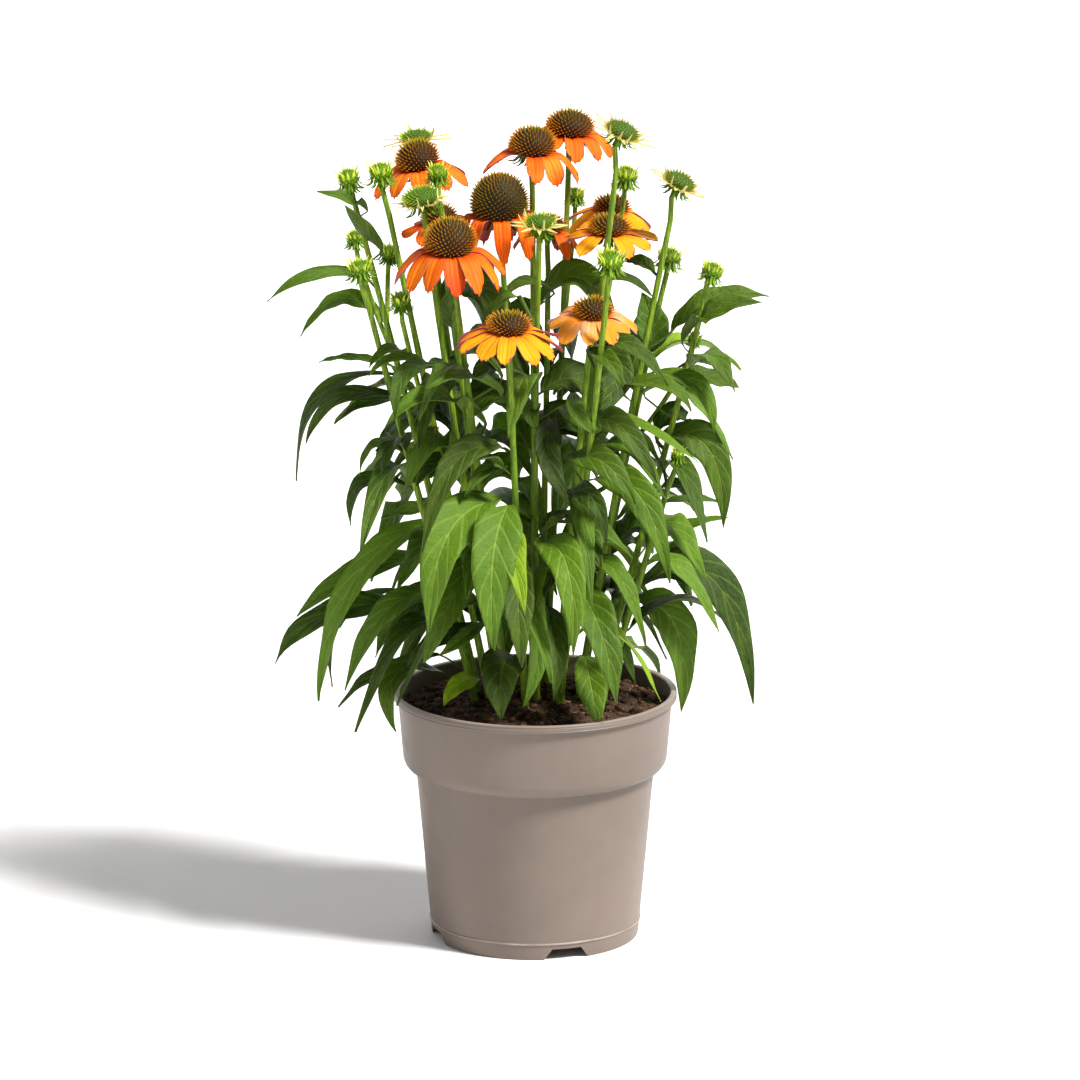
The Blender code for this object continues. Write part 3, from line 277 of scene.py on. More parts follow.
class PlantColours(bpy.types.PropertyGroup):
    """Base colours of the finishes."""

    pot: FloatVectorProperty(
        name="Pot", description="Colour of the pot's plastic", subtype="COLOR", size=4,
        default=(0.170, 0.132, 0.108, 1.0), min=0.0, max=1.0)
    leaf: FloatVectorProperty(
        name="Leaf", description="Colour of a leaf's upper side", subtype="COLOR", size=4,
        default=(0.074, 0.155, 0.006, 1.0), min=0.0, max=1.0)
    leaf_under: FloatVectorProperty(
        name="Leaf underside", description="Colour of a leaf's lower side", subtype="COLOR",
        size=4, default=(0.105, 0.180, 0.026, 1.0), min=0.0, max=1.0)
    stem: FloatVectorProperty(
        name="Stem", description="Colour of the stems", subtype="COLOR", size=4,
        default=(0.25, 0.41, 0.014, 1.0), min=0.0, max=1.0)
    petal_orange: FloatVectorProperty(
        name="Orange petal", description="Colour of the orange petals", subtype="COLOR", size=4,
        default=(1.0, 0.165, 0.005, 1.0), min=0.0, max=1.0)
    petal_amber: FloatVectorProperty(
        name="Amber petal", description="Colour of the amber petals", subtype="COLOR", size=4,
        default=(1.0, 0.37, 0.006, 1.0), min=0.0, max=1.0)
    petal_blush: FloatVectorProperty(
        name="Blush petal", description="Colour of the pale petals", subtype="COLOR", size=4,
        default=(1.0, 0.36, 0.030, 1.0), min=0.0, max=1.0)
    petal_under: FloatVectorProperty(
        name="Petal underside", description="Colour of a petal's lower side", subtype="COLOR",
        size=4, default=(0.42, 0.10, 0.11, 1.0), min=0.0, max=1.0)
    cream: FloatVectorProperty(
        name="Cream ray", description="Colour of the young rays", subtype="COLOR", size=4,
        default=(0.90, 0.80, 0.28, 1.0), min=0.0, max=1.0)


def sizes():
    return bpy.context.scene.coneflower_sizes


def colours():
    return bpy.context.scene.coneflower_colours


# small helpers

def mm(values):
    """A point given in millimetres, in metres."""
    return Vector(values) * MM


def finish_mesh(bm, name, mats, smooth=True):
    """Turn a bmesh into a piece that stands at the origin and rides on the plant."""
    mesh = bpy.data.meshes.new(name)
    bm.to_mesh(mesh)
    bm.free()
    for mat in mats:
        mesh.materials.append(mat)
    if smooth:
        mesh.polygons.foreach_set("use_smooth", [True] * len(mesh.polygons))
    mesh.update()
    piece = bpy.data.objects.new(name, mesh)
    bpy.context.scene.collection.objects.link(piece)
    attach(piece, "root")
    return piece


def new_plant_bmesh():
    """A bmesh with the UV map and the tint, age and rise values that the finishes read."""
    bm = bmesh.new()
    bm.loops.layers.uv.new("UVMap")
    bm.faces.layers.float.new("tint")
    bm.faces.layers.float.new("age")
    bm.verts.layers.float.new("rise")
    return bm


def mark(bm, faces, slot, tint):
    layer = bm.faces.layers.float["tint"]
    for face in faces:
        face.material_index = slot
        face[layer] = tint


def faces_of(verts):
    """The faces that a set of new corners carries."""
    return {face for vert in verts for face in vert.link_faces}


def merge_into(target, source):
    """Append one bmesh to another, layers included."""
    mesh = bpy.data.meshes.new("part")
    source.to_mesh(mesh)
    source.free()
    target.from_mesh(mesh)
    bpy.data.meshes.remove(mesh)


def shell(bm, thickness, under_slot):
    """Give a sheet its thickness, downwards; the lower side and the rim take their own slot."""
    lean = bm.verts.layers.float_vector.new("lean")
    bm.normal_update()
    for vert in bm.verts:
        vert[lean] = vert.normal
    upper = set(bm.faces)
    grown = bmesh.ops.extrude_face_region(bm, geom=list(upper), use_keep_orig=True)["geom"]
    for item in grown:
        if isinstance(item, bmesh.types.BMVert):
            item.co -= item[lean] * thickness
    for face in bm.faces:
        if face not in upper:
            face.material_index = under_slot
    bmesh.ops.recalc_face_normals(bm, faces=bm.faces)
    bm.verts.layers.float_vector.remove(lean)


def quad_curve(a, b, c, u):
    """A curve that passes b half way."""
    mid = b * 2.0 - (a + c) * 0.5
    return a * (1 - u) ** 2 + mid * 2 * u * (1 - u) + c * u ** 2


def curve_pace(a, b, c, u):
    mid = b * 2.0 - (a + c) * 0.5
    return (mid - a) * (1 - u) + (c - mid) * u


# where the shoots and the leaves are: the same rules as in the solids

def spread(z):
    share = (z - STEM_STRAIGHT_Z) / (STEM_TOP_Z - STEM_STRAIGHT_Z)
    return STEM_SPREAD_LOW + (1.0 - STEM_SPREAD_LOW) * max(0.0, share)


def head_axis(lean_right, lean_front):
    axis = Vector((math.tan(math.radians(lean_right)), -math.tan(math.radians(lean_front)), 1.0))
    return axis.normalized()


def head_frame(point, axis):
    front = Vector((0.0, -1.0, 0.0))
    front = (front - axis * front.dot(axis)).normalized()
    return Vector(point), axis, front, axis.cross(front).normalized()


def to_world(seat, reach, height, azimuth):
    point, axis, front, right = seat
    a = math.radians(azimuth)
    return point + (front * math.cos(a) + right * math.sin(a)) * reach + axis * height


class Stem:
    """One shoot from the peat to its head, in millimetres."""

    def __init__(self, name, point, axis, flare):
        self.name = name
        self.point = Vector(point)
        self.axis = axis
        self.flare = flare
        self.ray = Vector((point[0], point[1])) / spread(point[2])
        rng = random.Random(SEED * 100 + int(name))
        self.sway = (rng.uniform(-WANDER, WANDER), rng.uniform(-WANDER, WANDER))

    def share(self, z):
        along = (z - STEM_STRAIGHT_Z) / (self.point.z - STEM_STRAIGHT_Z)
        return min(1.0, max(0.0, along))

    def at(self, z):
        xy = self.ray * spread(z)
        bow = math.sin(math.pi * self.share(z))
        return Vector((xy.x + self.sway[0] * bow, xy.y + self.sway[1] * bow, z))

    def radius(self, z):
        return STEM_LOW_R + (STEM_TOP_R - STEM_LOW_R) * self.share(z)

    def path(self):
        """Points and radii of the fine stem."""
        points = [self.at(STEM_BOTTOM_Z), self.at(STEM_STRAIGHT_Z - 4.0)]
        radii = [STEM_LOW_R, STEM_LOW_R]
        neck = self.point - self.axis * NECK
        count = 18
        for k in range(count):
            z = STEM_STRAIGHT_Z + (neck.z - STEM_STRAIGHT_Z) * (k + 0.5) / count
            points.append(self.at(z))
            radii.append(self.radius(z) * (1.0 + 0.05 * math.sin(k * 2.3 + int(self.name))))
        for back, wide in ((9.0, 1.0), (6.0, 1.05), (4.0, 1.3), (2.6, 1.9)):
            points.append(self.point - self.axis * back)
            radii.append(min(self.flare, STEM_TOP_R * wide))
        for back, share in ((1.4, 0.9), (0.5, 1.0), (0.0, 0.9)):
            points.append(self.point - self.axis * back)
            radii.append(self.flare * share)
        return points, radii


def make_stems():
    heads = [(head, BLOOM_FLARE) for head in HEADS] + [(bud, BUD_FLARE) for bud in BUDS]
    return [Stem(head.name, head.point, head_axis(head.right, head.front), flare * head.core)
            for head, flare in heads]


class Leaf:
    """Root, crest and tip of a leaf in millimetres, its width and its turn to the front."""

    def __init__(self, root, crest, tip, width, facing):
        self.root = Vector(root)
        self.crest = Vector(crest)
        self.tip = Vector(tip)
        self.width = width
        self.facing = facing
        self.entry = None
        self.stem = None

    def moved(self, turn, rise):
        spin = Matrix.Rotation(math.radians(turn), 3, "Z")
        crest = self.root + spin @ (self.crest - self.root)
        tip = self.root + spin @ (self.tip - self.root)
        crest.z += rise * 0.6
        tip.z += rise
        return Leaf(self.root, crest, tip, self.width, self.facing)


def entry_choices(leaf, stems):
    """Stems near the leaf's root, nearest first, with the joining point."""
    found = []
    for stem in stems:
        z = leaf.root.z
        for _ in range(3):
            spot = stem.at(max(STEM_STRAIGHT_Z + 3.0, z))
            gap = (leaf.root - spot).length
            z = leaf.root.z - 0.55 * gap
        z = max(STEM_STRAIGHT_Z + 3.0, z)
        if z > stem.point.z - 22.0:
            continue
        spot = stem.at(z)
        found.append(((leaf.root - spot).length, stem.name, stem, spot))
    found.sort(key=lambda row: (row[0], row[1]))
    return found[:4]


def solid_points(prefix):
    """Every corner of the solids whose names start alike, for finding what grew where."""
    spots = []
    for name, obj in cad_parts.items():
        if name.startswith(prefix):
            for vert in obj.data.vertices:
                spots.append((obj.matrix_world @ vert.co, name))
    tree = KDTree(len(spots))
    for i, (co, _) in enumerate(spots):
        tree.insert(co, i)
    tree.balance()
    return tree, [name for _, name in spots]


def nearest_node(index, point):
    tree, names = index
    _, i, far = tree.find(point * MM)
    return (names[i], far / MM)


def settle_leaf(leaf, stems, index):
    """The turn and rise with which the solid leaf was placed, or None if it was left out."""
    choices = entry_choices(leaf, stems)
    for turn, rise in TRIALS:
        trial = leaf.moved(turn, rise)
        node, far = nearest_node(index, trial.tip)
        if far < LEAF_MATCH:
            for reach, name, stem, spot in choices:
                if node == "stem_" + name:
                    trial.entry = spot
                    trial.stem = stem
                    if reach < 7.0:
                        trial.root = spot + (trial.crest - spot).normalized() * 5.0
                    return trial
    return None


def inner_leaf(rng, stems):
    """A leaf that grows out of the clump, for the middle and the sides."""
    stem = rng.choice(stems)
    z = rng.uniform(195.0, min(405.0, stem.point.z - 60.0))
    start = stem.at(z)
    outward = math.degrees(math.atan2(start.x, start.y + 6.0))
    azimuth = outward + rng.uniform(-75.0, 75.0)
    out = Vector((math.sin(math.radians(azimuth)), math.cos(math.radians(azimuth)), 0.0))
    size = rng.uniform(56.0, 92.0)
    if z > 330.0:
        size *= 0.75
    crest = start + out * size * 0.5 + Vector((0.0, 0.0, size * rng.uniform(0.12, 0.3)))
    tip = start + out * size + Vector((0.0, 0.0, -size * rng.uniform(0.0, 0.55)))
    root = start + (crest - start).normalized() * 5.0
    return Leaf(root, crest, tip, rng.uniform(13.0, 22.0), 0.0)


def back_leaf(rng, stems):
    """A broad leaf that hangs across the back of the clump."""
    stem = rng.choice([s for s in stems if s.point.y > BACK_Y])
    z = rng.uniform(205.0, min(425.0, stem.point.z - 60.0))
    start = stem.at(z)
    azimuth = rng.choice((-1.0, 1.0)) * rng.uniform(35.0, 120.0)
    out = Vector((math.sin(math.radians(azimuth)), math.cos(math.radians(azimuth)), 0.0))
    size = rng.uniform(50.0, 80.0)
    crest = start + out * size * 0.45 + Vector((0.0, 0.0, size * rng.uniform(0.10, 0.3)))
    tip = start + out * size * 0.85 + Vector((0.0, 0.0, -size * rng.uniform(0.15, 0.8)))
    root = start + (crest - start).normalized() * 5.0
    return Leaf(root, crest, tip, rng.uniform(17.0, 26.0), 0.6)


def all_leaves(stems):
    index = solid_points("stem_")
    leaves = []
    for row in LEAVES:
        leaves.append(settle_leaf(Leaf(*row), stems, index))
    rng = random.Random(SEED + 900)
    for _ in range(INNER_LEAVES):
        leaves.append(settle_leaf(inner_leaf(rng, stems), stems, index))
    for _ in range(BACK_LEAVES):
        leaves.append(settle_leaf(back_leaf(rng, stems), stems, index))
    return [leaf for leaf in leaves if leaf is not None]


# stems, leaves, bracts and buds

def frame_along(point, along, hint):
    """A matrix whose z axis runs along a direction."""
    z = along.normalized()
    x = (hint - z * hint.dot(z))
    if x.length < 1e-5:
        x = z.orthogonal()
    x.normalize()
    y = z.cross(x)
    turn = Matrix((x, y, z)).transposed().to_4x4()
    return Matrix.Translation(point) @ turn


def sweep(bm, points, radii, sides, slot, tint):
    """A round rod drawn along points in millimetres, one ring at a time."""
    known = set(bm.faces)
    hint = Vector((1.0, 0.0, 0.0))
    ring = bmesh.ops.create_circle(bm, cap_ends=True, segments=sides, radius=MM)["verts"]
    first = points[1] - points[0]
    last = frame_along(points[0] * MM, first, hint) @ Matrix.Scale(radii[0], 4)
    bmesh.ops.transform(bm, matrix=last, verts=ring)
    edges = [e for e in bm.edges if e.verts[0] in ring and e.verts[1] in ring]
    for k in range(1, len(points)):
        ahead = points[min(k + 1, len(points) - 1)] - points[k - 1]
        place = frame_along(points[k] * MM, ahead, hint) @ Matrix.Scale(radii[k], 4)
        grown = bmesh.ops.extrude_edge_only(bm, edges=edges)["geom"]
        ring = [g for g in grown if isinstance(g, bmesh.types.BMVert)]
        edges = [g for g in grown if isinstance(g, bmesh.types.BMEdge)]
        edges = [e for e in edges if e.verts[0] in ring and e.verts[1] in ring]
        bmesh.ops.transform(bm, matrix=place @ last.inverted(), verts=ring)
        last = place
    bmesh.ops.holes_fill(bm, edges=edges, sides=0)
    made = [f for f in bm.faces if f not in known]
    bmesh.ops.recalc_face_normals(bm, faces=made)
    mark(bm, made, slot, tint)


def blade_width(s):
    """Share of the full width at s along the blade, with a pointed tip."""
    if s < BLADE_PEAK:
        return 0.16 + 0.84 * (1.0 - (1.0 - s / BLADE_PEAK) ** 2.4)
    return max(0.02, 1.0 - ((s - BLADE_PEAK) / (1.0 - BLADE_PEAK)) ** 1.9)


def level_side(a, b):
    flat = Vector((b.x - a.x, b.y - a.y, 0.0))
    if flat.length < 1e-6:
        flat = Vector((0.0, -1.0, 0.0))
    return flat.normalized().cross(UP)


def leaf_side(leaf, along, side, share):
    """The direction across the blade, turned a little to the front."""
    across = (side - along * side.dot(along)).normalized()
    shown = along.cross(VIEW)
    if shown.length > 0.2:
        shown.normalize()
        if shown.dot(across) < 0:
            shown = -shown
        mix = leaf.facing * min(1.0, share * 3.0) * 0.8
        across = (across * (1 - mix) + shown * mix).normalized()
        across = (across - along * across.dot(along)).normalized()
    return across


def leaf_age(leaf, rng):
    """How far a blade has turned yellow: short ones near the peat, a few inside the clump."""
    chance = rng.random()
    if leaf.tip.z < YELLOW_Z and (leaf.tip - leaf.root).length < YELLOW_SIZE:
        return 0.2 + 0.8 * chance if chance > 0.45 else 0.0
    if leaf.facing == 0.0 and chance > 0.86:
        return 0.6 * chance
    return 0.10 * chance


def add_leaf(target, leaf, rng):
    """A leaf blade on its stalk: folded at the midrib, arched, with a soft wave."""
    bm = new_plant_bmesh()
    bmesh.ops.create_grid(bm, x_segments=8, y_segments=22, size=0.5, calc_uvs=True)
    side = level_side(leaf.root, leaf.tip)
    stalk = (leaf.root - leaf.entry).length
    size = (leaf.tip - leaf.root).length
    stalk_share = stalk / (stalk + size * 1.1)
    wave = rng.uniform(0.03, 0.095)
    beat = rng.uniform(1.6, 4.2)
    ripple = rng.uniform(0.02, 0.06)
    phase = rng.uniform(0.0, 6.28)
    fold = rng.uniform(0.22, 0.5)
    twist = math.radians(rng.uniform(-16.0, 16.0))
    for vert in bm.verts:
        c = vert.co.x * 2.0
        along_share = vert.co.y + 0.5
        if along_share < stalk_share:
            u = along_share / stalk_share
            spot = leaf.entry.lerp(leaf.root, u)
            pace = (leaf.root - leaf.entry).normalized()
            s = 0.0
            half = STALK_HALF + 0.3 * (u ** 3)
        else:
            s = (along_share - stalk_share) / (1.0 - stalk_share)
            spot = quad_curve(leaf.root, leaf.crest, leaf.tip, s)
            pace = curve_pace(leaf.root, leaf.crest, leaf.tip, max(0.001, s)).normalized()
            full = 0.5 * leaf.width * blade_width(s) * LEAF_BREADTH
            full *= 1.0 + ripple * math.sin(17.0 * s + phase)
            half = max((STALK_HALF + 0.3) * (1.0 - s), full)
        across = leaf_side(leaf, pace, side, s)
        up = across.cross(pace).normalized()
        swing = twist * s
        across, up = (across * math.cos(swing) + up * math.sin(swing),
                      up * math.cos(swing) - across * math.sin(swing))
        tilt = fold * (1.0 - 0.7 * s)
        lift = abs(c) ** 1.3 * half * math.sin(tilt)
        lift += wave * leaf.width * math.sin(beat * 6.28 * s + phase + c) * c * c
        lift -= 0.035 * leaf.width * math.exp(-(c / 0.16) ** 2) * min(1.0, s * 5.0)
        vert.co = (spot + across * (c * half * math.cos(tilt)) + up * lift) * MM
    mark(bm, bm.faces, BLADE_SLOT, rng.random())
    age = leaf_age(leaf, rng)
    for face in bm.faces:
        face[bm.faces.layers.float["age"]] = age
    bmesh.ops.recalc_face_normals(bm, faces=bm.faces)
    middle = sorted(bm.faces, key=lambda f: f.index)[len(bm.faces) // 2]
    pace = curve_pace(leaf.root, leaf.crest, leaf.tip, 0.5).normalized()
    if middle.normal.dot(leaf_side(leaf, pace, side, 0.5).cross(pace)) < 0:
        bmesh.ops.reverse_faces(bm, faces=bm.faces)
    shell(bm, sizes().leaf_thickness, UNDER_SLOT)
    merge_into(target, bm)


def scale_leaf(target, base, tip, across, width, curl, tint, pale):
    """A narrow pointed bract, curled along its length and paler towards its tip."""
    bm = new_plant_bmesh()
    bmesh.ops.create_grid(bm, x_segments=2, y_segments=5, size=0.5, calc_uvs=True)
    rise = bm.verts.layers.float["rise"]
    out = (tip - base)
    up = across.cross(out).normalized()
    for vert in bm.verts:
        c = vert.co.x * 2.0
        s = vert.co.y + 0.5
        half = 0.5 * width * (1.0 - s ** 1.8) * (0.75 + 0.5 * s) + 0.04
        bend = curl * out.length * math.sin(math.pi * s)
        spot = base + out * s + up * (bend - abs(c) * half * 0.35)
        vert.co = (spot + across * (c * half)) * MM
        vert[rise] = pale[0] + (pale[1] - pale[0]) * s
    mark(bm, bm.faces, BRACT_SLOT, tint)
    bmesh.ops.recalc_face_normals(bm, faces=bm.faces)
    shell(bm, BRACT_THICKNESS * MM, BRACT_SLOT)
    merge_into(target, bm)


def side_of(seat, azimuth):
    """The direction across whatever stands at an azimuth of a head."""
    return (to_world(seat, 1.0, 0.0, azimuth + 90.0) - seat[0]).normalized()


def add_bracts(target, seat, core, count, rng):
    """Green bracts that spread and curl back under a head, in two rows."""
    for row, (inner, outer, low) in enumerate(HEAD_BRACTS):
        for k in range(count):
            azimuth = 360.0 * (k + 0.5 * row) / count + rng.uniform(-9.0, 9.0)
            base = to_world(seat, inner * core, low, azimuth)
            drop = low - rng.uniform(2.6, 6.4)
            tip = to_world(seat, outer * core + rng.uniform(-0.6, 1.2), drop, azimuth)
            side = side_of(seat, azimuth)
            scale_leaf(target, base, tip, side, 2.3, 0.26, rng.random(), (0.0, 0.25))


def add_bud(target, seat, core, tall, rng):
    """A closed green head: a bristling dome, young rays that stand around it, bracts below."""
    bm = new_plant_bmesh()
    ball = bmesh.ops.create_uvsphere(bm, u_segments=16, v_segments=10, radius=1.0)["verts"]
    shape = Matrix.Diagonal((core * 0.70 * MM, core * 0.70 * MM, tall * 0.44 * MM, 1.0))
    middle = to_world(seat, 0.0, BUD_LOW + tall * 0.42, 0.0)
    turn = frame_along(middle * MM, seat[1], seat[2])
    bmesh.ops.transform(bm, matrix=turn @ shape, verts=ball)
    mark(bm, bm.faces, BRACT_SLOT, rng.random())
    count = int(11 * core)
    dome = (core * 0.68, tall * 0.72, BUD_LOW + tall * 0.12)
    for k in range(count):
        level = (k + 0.5) / count
        spot, out = dome_spot(seat, *dome, level, GOLDEN * k)
        lean = (out * 0.7 + seat[1] * 0.8).normalized()
        length = (1.6 + 0.20 * core) * rng.uniform(0.8, 1.2) * (1.0 - 0.4 * level)
        add_bristle(bm, spot, lean, length, 0.42, BRACT_SLOT, rng.random(), (0.15, 0.75))
    merge_into(target, bm)
    young = int(6 + core * 0.8)
    for k in range(young):
        azimuth = 360.0 * k / young + rng.uniform(-10.0, 10.0)
        base = to_world(seat, core * 0.66, BUD_LOW + tall * 0.28, azimuth)
        reach = core * rng.uniform(0.86, 1.22)
        tip = to_world(seat, reach, BUD_LOW + tall * rng.uniform(0.85, 1.16), azimuth)
        side = side_of(seat, azimuth)
        scale_leaf(target, base, tip, side, 2.1, -0.10, rng.random(), (0.55, 1.0))
    for row, (inner, outer, start, end) in enumerate(BUD_BRACTS):
        for k in range(BUD_BRACT_COUNT):
            azimuth = 360.0 * (k + 0.5 * (row % 2)) / BUD_BRACT_COUNT + rng.uniform(-9.0, 9.0)
            base = to_world(seat, core * inner, BUD_LOW + tall * start, azimuth)
            reach = core * outer + rng.uniform(-0.5, 0.9)
            tip = to_world(seat, reach, BUD_LOW + tall * end - rng.uniform(0.0, 1.4), azimuth)
            side = side_of(seat, azimuth)
            width = 1.2 + 0.07 * core
            scale_leaf(target, base, tip, side, width, 0.24, rng.random(), (0.0, 0.22))


def shoot_path(stem, height, point, axis):
    """The fine path of a side shoot, along the same curve as its solid."""
    start = stem.at(height)
    end = Vector(point)
    neck = end - axis * 12.0
    middle = start.lerp(neck, 0.5) + Vector((0, 0, -4.0))
    points = [quad_curve(start, middle, neck, k / 9.0) for k in range(10)]
    points += [end - axis * 7.0, end - axis * 4.0, end - axis * 1.2, end.copy()]
    return points


def add_shoots(target, stem, rng):
    """The side shoots of a stem, each with its bud."""
    for shoot in SHOOTS:
        if shoot.stem != stem.name:
            continue
        axis = head_axis(shoot.right, shoot.front)
        points = shoot_path(stem, shoot.height, shoot.point, axis)
        radii = [1.7] * 11 + [1.9, 0.42 * shoot.core, 0.4 * shoot.core]
        sweep(target, points, radii, sizes().stem_sides, STEM_SLOT, rng.random())
        add_bud(target, head_frame(shoot.point, axis), shoot.core, shoot.tall, rng)


def build_foliage(stem, leaves, mats):
    """One leafy stem with its shoots, buds, bracts and leaves."""
    rng = random.Random(SEED * 31 + int(stem.name))
    bm = new_plant_bmesh()
    points, radii = stem.path()
    sweep(bm, points, radii, sizes().stem_sides, STEM_SLOT, rng.random())
    seat = head_frame(stem.point, stem.axis)
    for head in HEADS:
        if head.name == stem.name:
            add_bracts(bm, seat, head.core, 11 if head.kind == "bloom" else 10, rng)
    for bud in BUDS:
        if bud.name == stem.name:
            add_bud(bm, seat, bud.core, bud.tall, rng)
    add_shoots(bm, stem, rng)
    for leaf in leaves:
        if leaf.stem is stem:
            add_leaf(bm, leaf, rng)
    piece = finish_mesh(bm, "foliage_" + stem.name, mats)
    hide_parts("stem_" + stem.name)


# rays and cones

def settle_rays(head, seat, index):
    """The rays that the solid bloom carries, with the turn and drop they were placed with."""
    rng = random.Random(SEED * 7 + int(head.name))
    bloom = head.kind == "bloom"
    first = rng.uniform(-8.0, 8.0)
    rays = []
    for k in range(head.count):
        azimuth = first + 360.0 * k / head.count + rng.uniform(-1.2, 1.2)
        far = head.reach * rng.uniform(0.9, 1.06)
        fall = head.drop + rng.uniform(-2.5, 3.5) * (1.0 if bloom else 0.7)
        for turn, extra in RAY_TRIALS:
            spot = to_world(seat, far, 0.75 - fall - extra, azimuth + turn)
            _, gap = nearest_node(index, spot)
            if gap < (BLOOM_MATCH if bloom else OPEN_MATCH):
                rays.append((azimuth + turn, far, fall + extra))
                break
    return rays


def ray_spot(seat, azimuth, core, far, fall, s, curl):
    """A point on the middle line of a ray at s, and how steeply it runs there."""
    start = 0.5 * core
    knee = 1.02 * core
    out = start + (far - start) * s
    beyond = max(0.0, (out - knee) / (far - knee))
    down = fall * beyond ** 1.4 - 0.78
    if fall > 0:
        out -= curl * far * beyond ** 4
    return to_world(seat, out, -down, azimuth)


def add_ray(target, seat, azimuth, core, far, fall, width, rng):
    """A ribbed ray petal with a notched tip that bends down from the cone."""
    bm = new_plant_bmesh()
    bmesh.ops.create_grid(bm, x_segments=8, y_segments=14, size=0.5, calc_uvs=True)
    across = side_of(seat, azimuth)
    curl = rng.uniform(0.0, 0.05)
    twist = math.radians(rng.uniform(-24.0, 24.0))
    cup = rng.uniform(0.02, 0.13)
    sway = rng.uniform(-2.2, 2.2)
    width *= rng.uniform(0.9, 1.1)
    notch = rng.uniform(0.035, 0.06)
    wave = rng.uniform(-0.05, 0.05)
    for vert in bm.verts:
        c = vert.co.x * 2.0
        s = vert.co.y + 0.5
        trim = notch * (0.5 - 0.5 * math.cos(3.0 * math.pi * c)) * s ** 6
        tip = 1.0 - 0.10 * abs(c) ** 2.5 * s ** 8 - trim
        reach = s * tip
        spot = ray_spot(seat, azimuth, core, far, fall, reach, curl)
        ahead = ray_spot(seat, azimuth, core, far, fall, min(1.0, reach + 0.02), curl)
        back = ray_spot(seat, azimuth, core, far, fall, max(0.0, reach - 0.02), curl)
        pace = (ahead - back).normalized()
        half = 0.5 * width * (0.34 + 0.66 * math.sin(math.pi * min(0.5, s * 0.85)) ** 1.1)
        if s > 0.72:
            half *= 1.0 - 0.34 * ((s - 0.72) / 0.28) ** 1.6
        up = across.cross(pace).normalized()
        swing = twist * s * s
        side = across * math.cos(swing) + up * math.sin(swing)
        up = up * math.cos(swing) - across * math.sin(swing)
        ribs = 0.028 * width * math.cos(2.5 * math.pi * c)
        lift = (ribs - cup * width * c * c) * min(1.0, s * 4.0)
        lift += wave * width * math.sin(5.0 * s + 2.0 * c) * s
        vert.co = (spot + side * (c * half + sway * s * s) + up * lift) * MM
    mark(bm, bm.faces, RAY_SLOT, rng.random())
    bmesh.ops.recalc_face_normals(bm, faces=bm.faces)
    if sum(face.normal.dot(seat[1]) for face in bm.faces) < 0:
        bmesh.ops.reverse_faces(bm, faces=bm.faces)
    shell(bm, sizes().petal_thickness, RAY_UNDER_SLOT)
    merge_into(target, bm)


def add_young_ray(target, seat, azimuth, core, far, fall, rng):
    """A narrow young ray, rolled along its length and pointed."""
    bm = new_plant_bmesh()
    bmesh.ops.create_grid(bm, x_segments=4, y_segments=9, size=0.5, calc_uvs=True)
    across = side_of(seat, azimuth)
    bend = rng.uniform(-1.2, 1.2)
    for vert in bm.verts:
        c = vert.co.x * 2.0
        s = vert.co.y + 0.5
        spot = ray_spot(seat, azimuth, core, far, fall, s, 0.0)
        half = 0.5 * YOUNG_RAY_W * (0.62 + 0.38 * math.sin(math.pi * s))
        half *= 1.0 - s ** 4 * 0.72
        lift = 0.30 * YOUNG_RAY_W * c * c
        vert.co = (spot + across * (c * half + bend * s * s) + seat[1] * lift) * MM
    mark(bm, bm.faces, RAY_SLOT, rng.random())
    bmesh.ops.recalc_face_normals(bm, faces=bm.faces)
    shell(bm, sizes().petal_thickness, RAY_SLOT)
    merge_into(target, bm)


def build_rays(head, seat, index, mats):
    """All the rays of one bloom, on the disc that they grow from."""
    core = head.core
    bloom = head.kind == "bloom"
    rng = random.Random(SEED * 17 + int(head.name))
    bm = new_plant_bmesh()
    points = [to_world(seat, 0.0, z, 0.0) for z in (0.4, 0.8, 1.3)]
    radii = [0.60 * core, 0.62 * core, 0.58 * core]
    sweep(bm, points, radii, 24, RAY_UNDER_SLOT if bloom else RAY_SLOT, 0.5)
    for azimuth, far, fall in settle_rays(head, seat, index):
        if bloom:
            add_ray(bm, seat, azimuth, core, far, fall, head.width * RAY_BREADTH, rng)
        else:
            add_young_ray(bm, seat, azimuth, core, far, fall, rng)
            azimuth += 180.0 / head.count + rng.uniform(-4.0, 4.0)
            short = core * 1.04 + (far - core) * rng.uniform(0.15, 0.5)
            add_young_ray(bm, seat, azimuth, core, short, fall - rng.uniform(4.0, 8.5), rng)
    piece = finish_mesh(bm, "petals_" + head.name, mats)
    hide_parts("rays_" + head.name)


def ray_slot(head):
    if head.kind == "open":
        return "ray_cream"
    if head.name in AMBER:
        return "petal_amber"
    return "petal_blush" if head.name in BLUSH else "petal_orange"


def dome_spot(seat, radius, height, low, level, azimuth):
    """A point on the dome of a cone and the direction out of it; level 0 is the rim."""
    angle = math.radians(-DOME_RIM + DOME_TURN * level)
    wide = radius * math.cos(angle)
    tall = low + height * (math.sin(angle) + DOME_LOW) / (1.0 + DOME_LOW)
    spot = to_world(seat, wide, tall, azimuth)
    middle = to_world(seat, 0.0, low + height * 0.28, azimuth)
    return spot, (spot - middle).normalized()


def add_bristle(bm, spot, out, length, thick, slot, tint, pale=(0.0, 1.0)):
    """A stiff pointed bristle."""
    rise = bm.verts.layers.float["rise"]
    made = bmesh.ops.create_cone(bm, cap_ends=True, segments=5, radius1=thick * MM,
                                 radius2=thick * 0.16 * MM, depth=length * MM)["verts"]
    for vert in made:
        vert[rise] = pale[1] if vert.co.z > 0 else pale[0]
        vert.co.z += 0.5 * length * MM
    place = frame_along(spot * MM, out, UP)
    bmesh.ops.transform(bm, matrix=place, verts=made)
    mark(bm, faces_of(made), slot, tint)


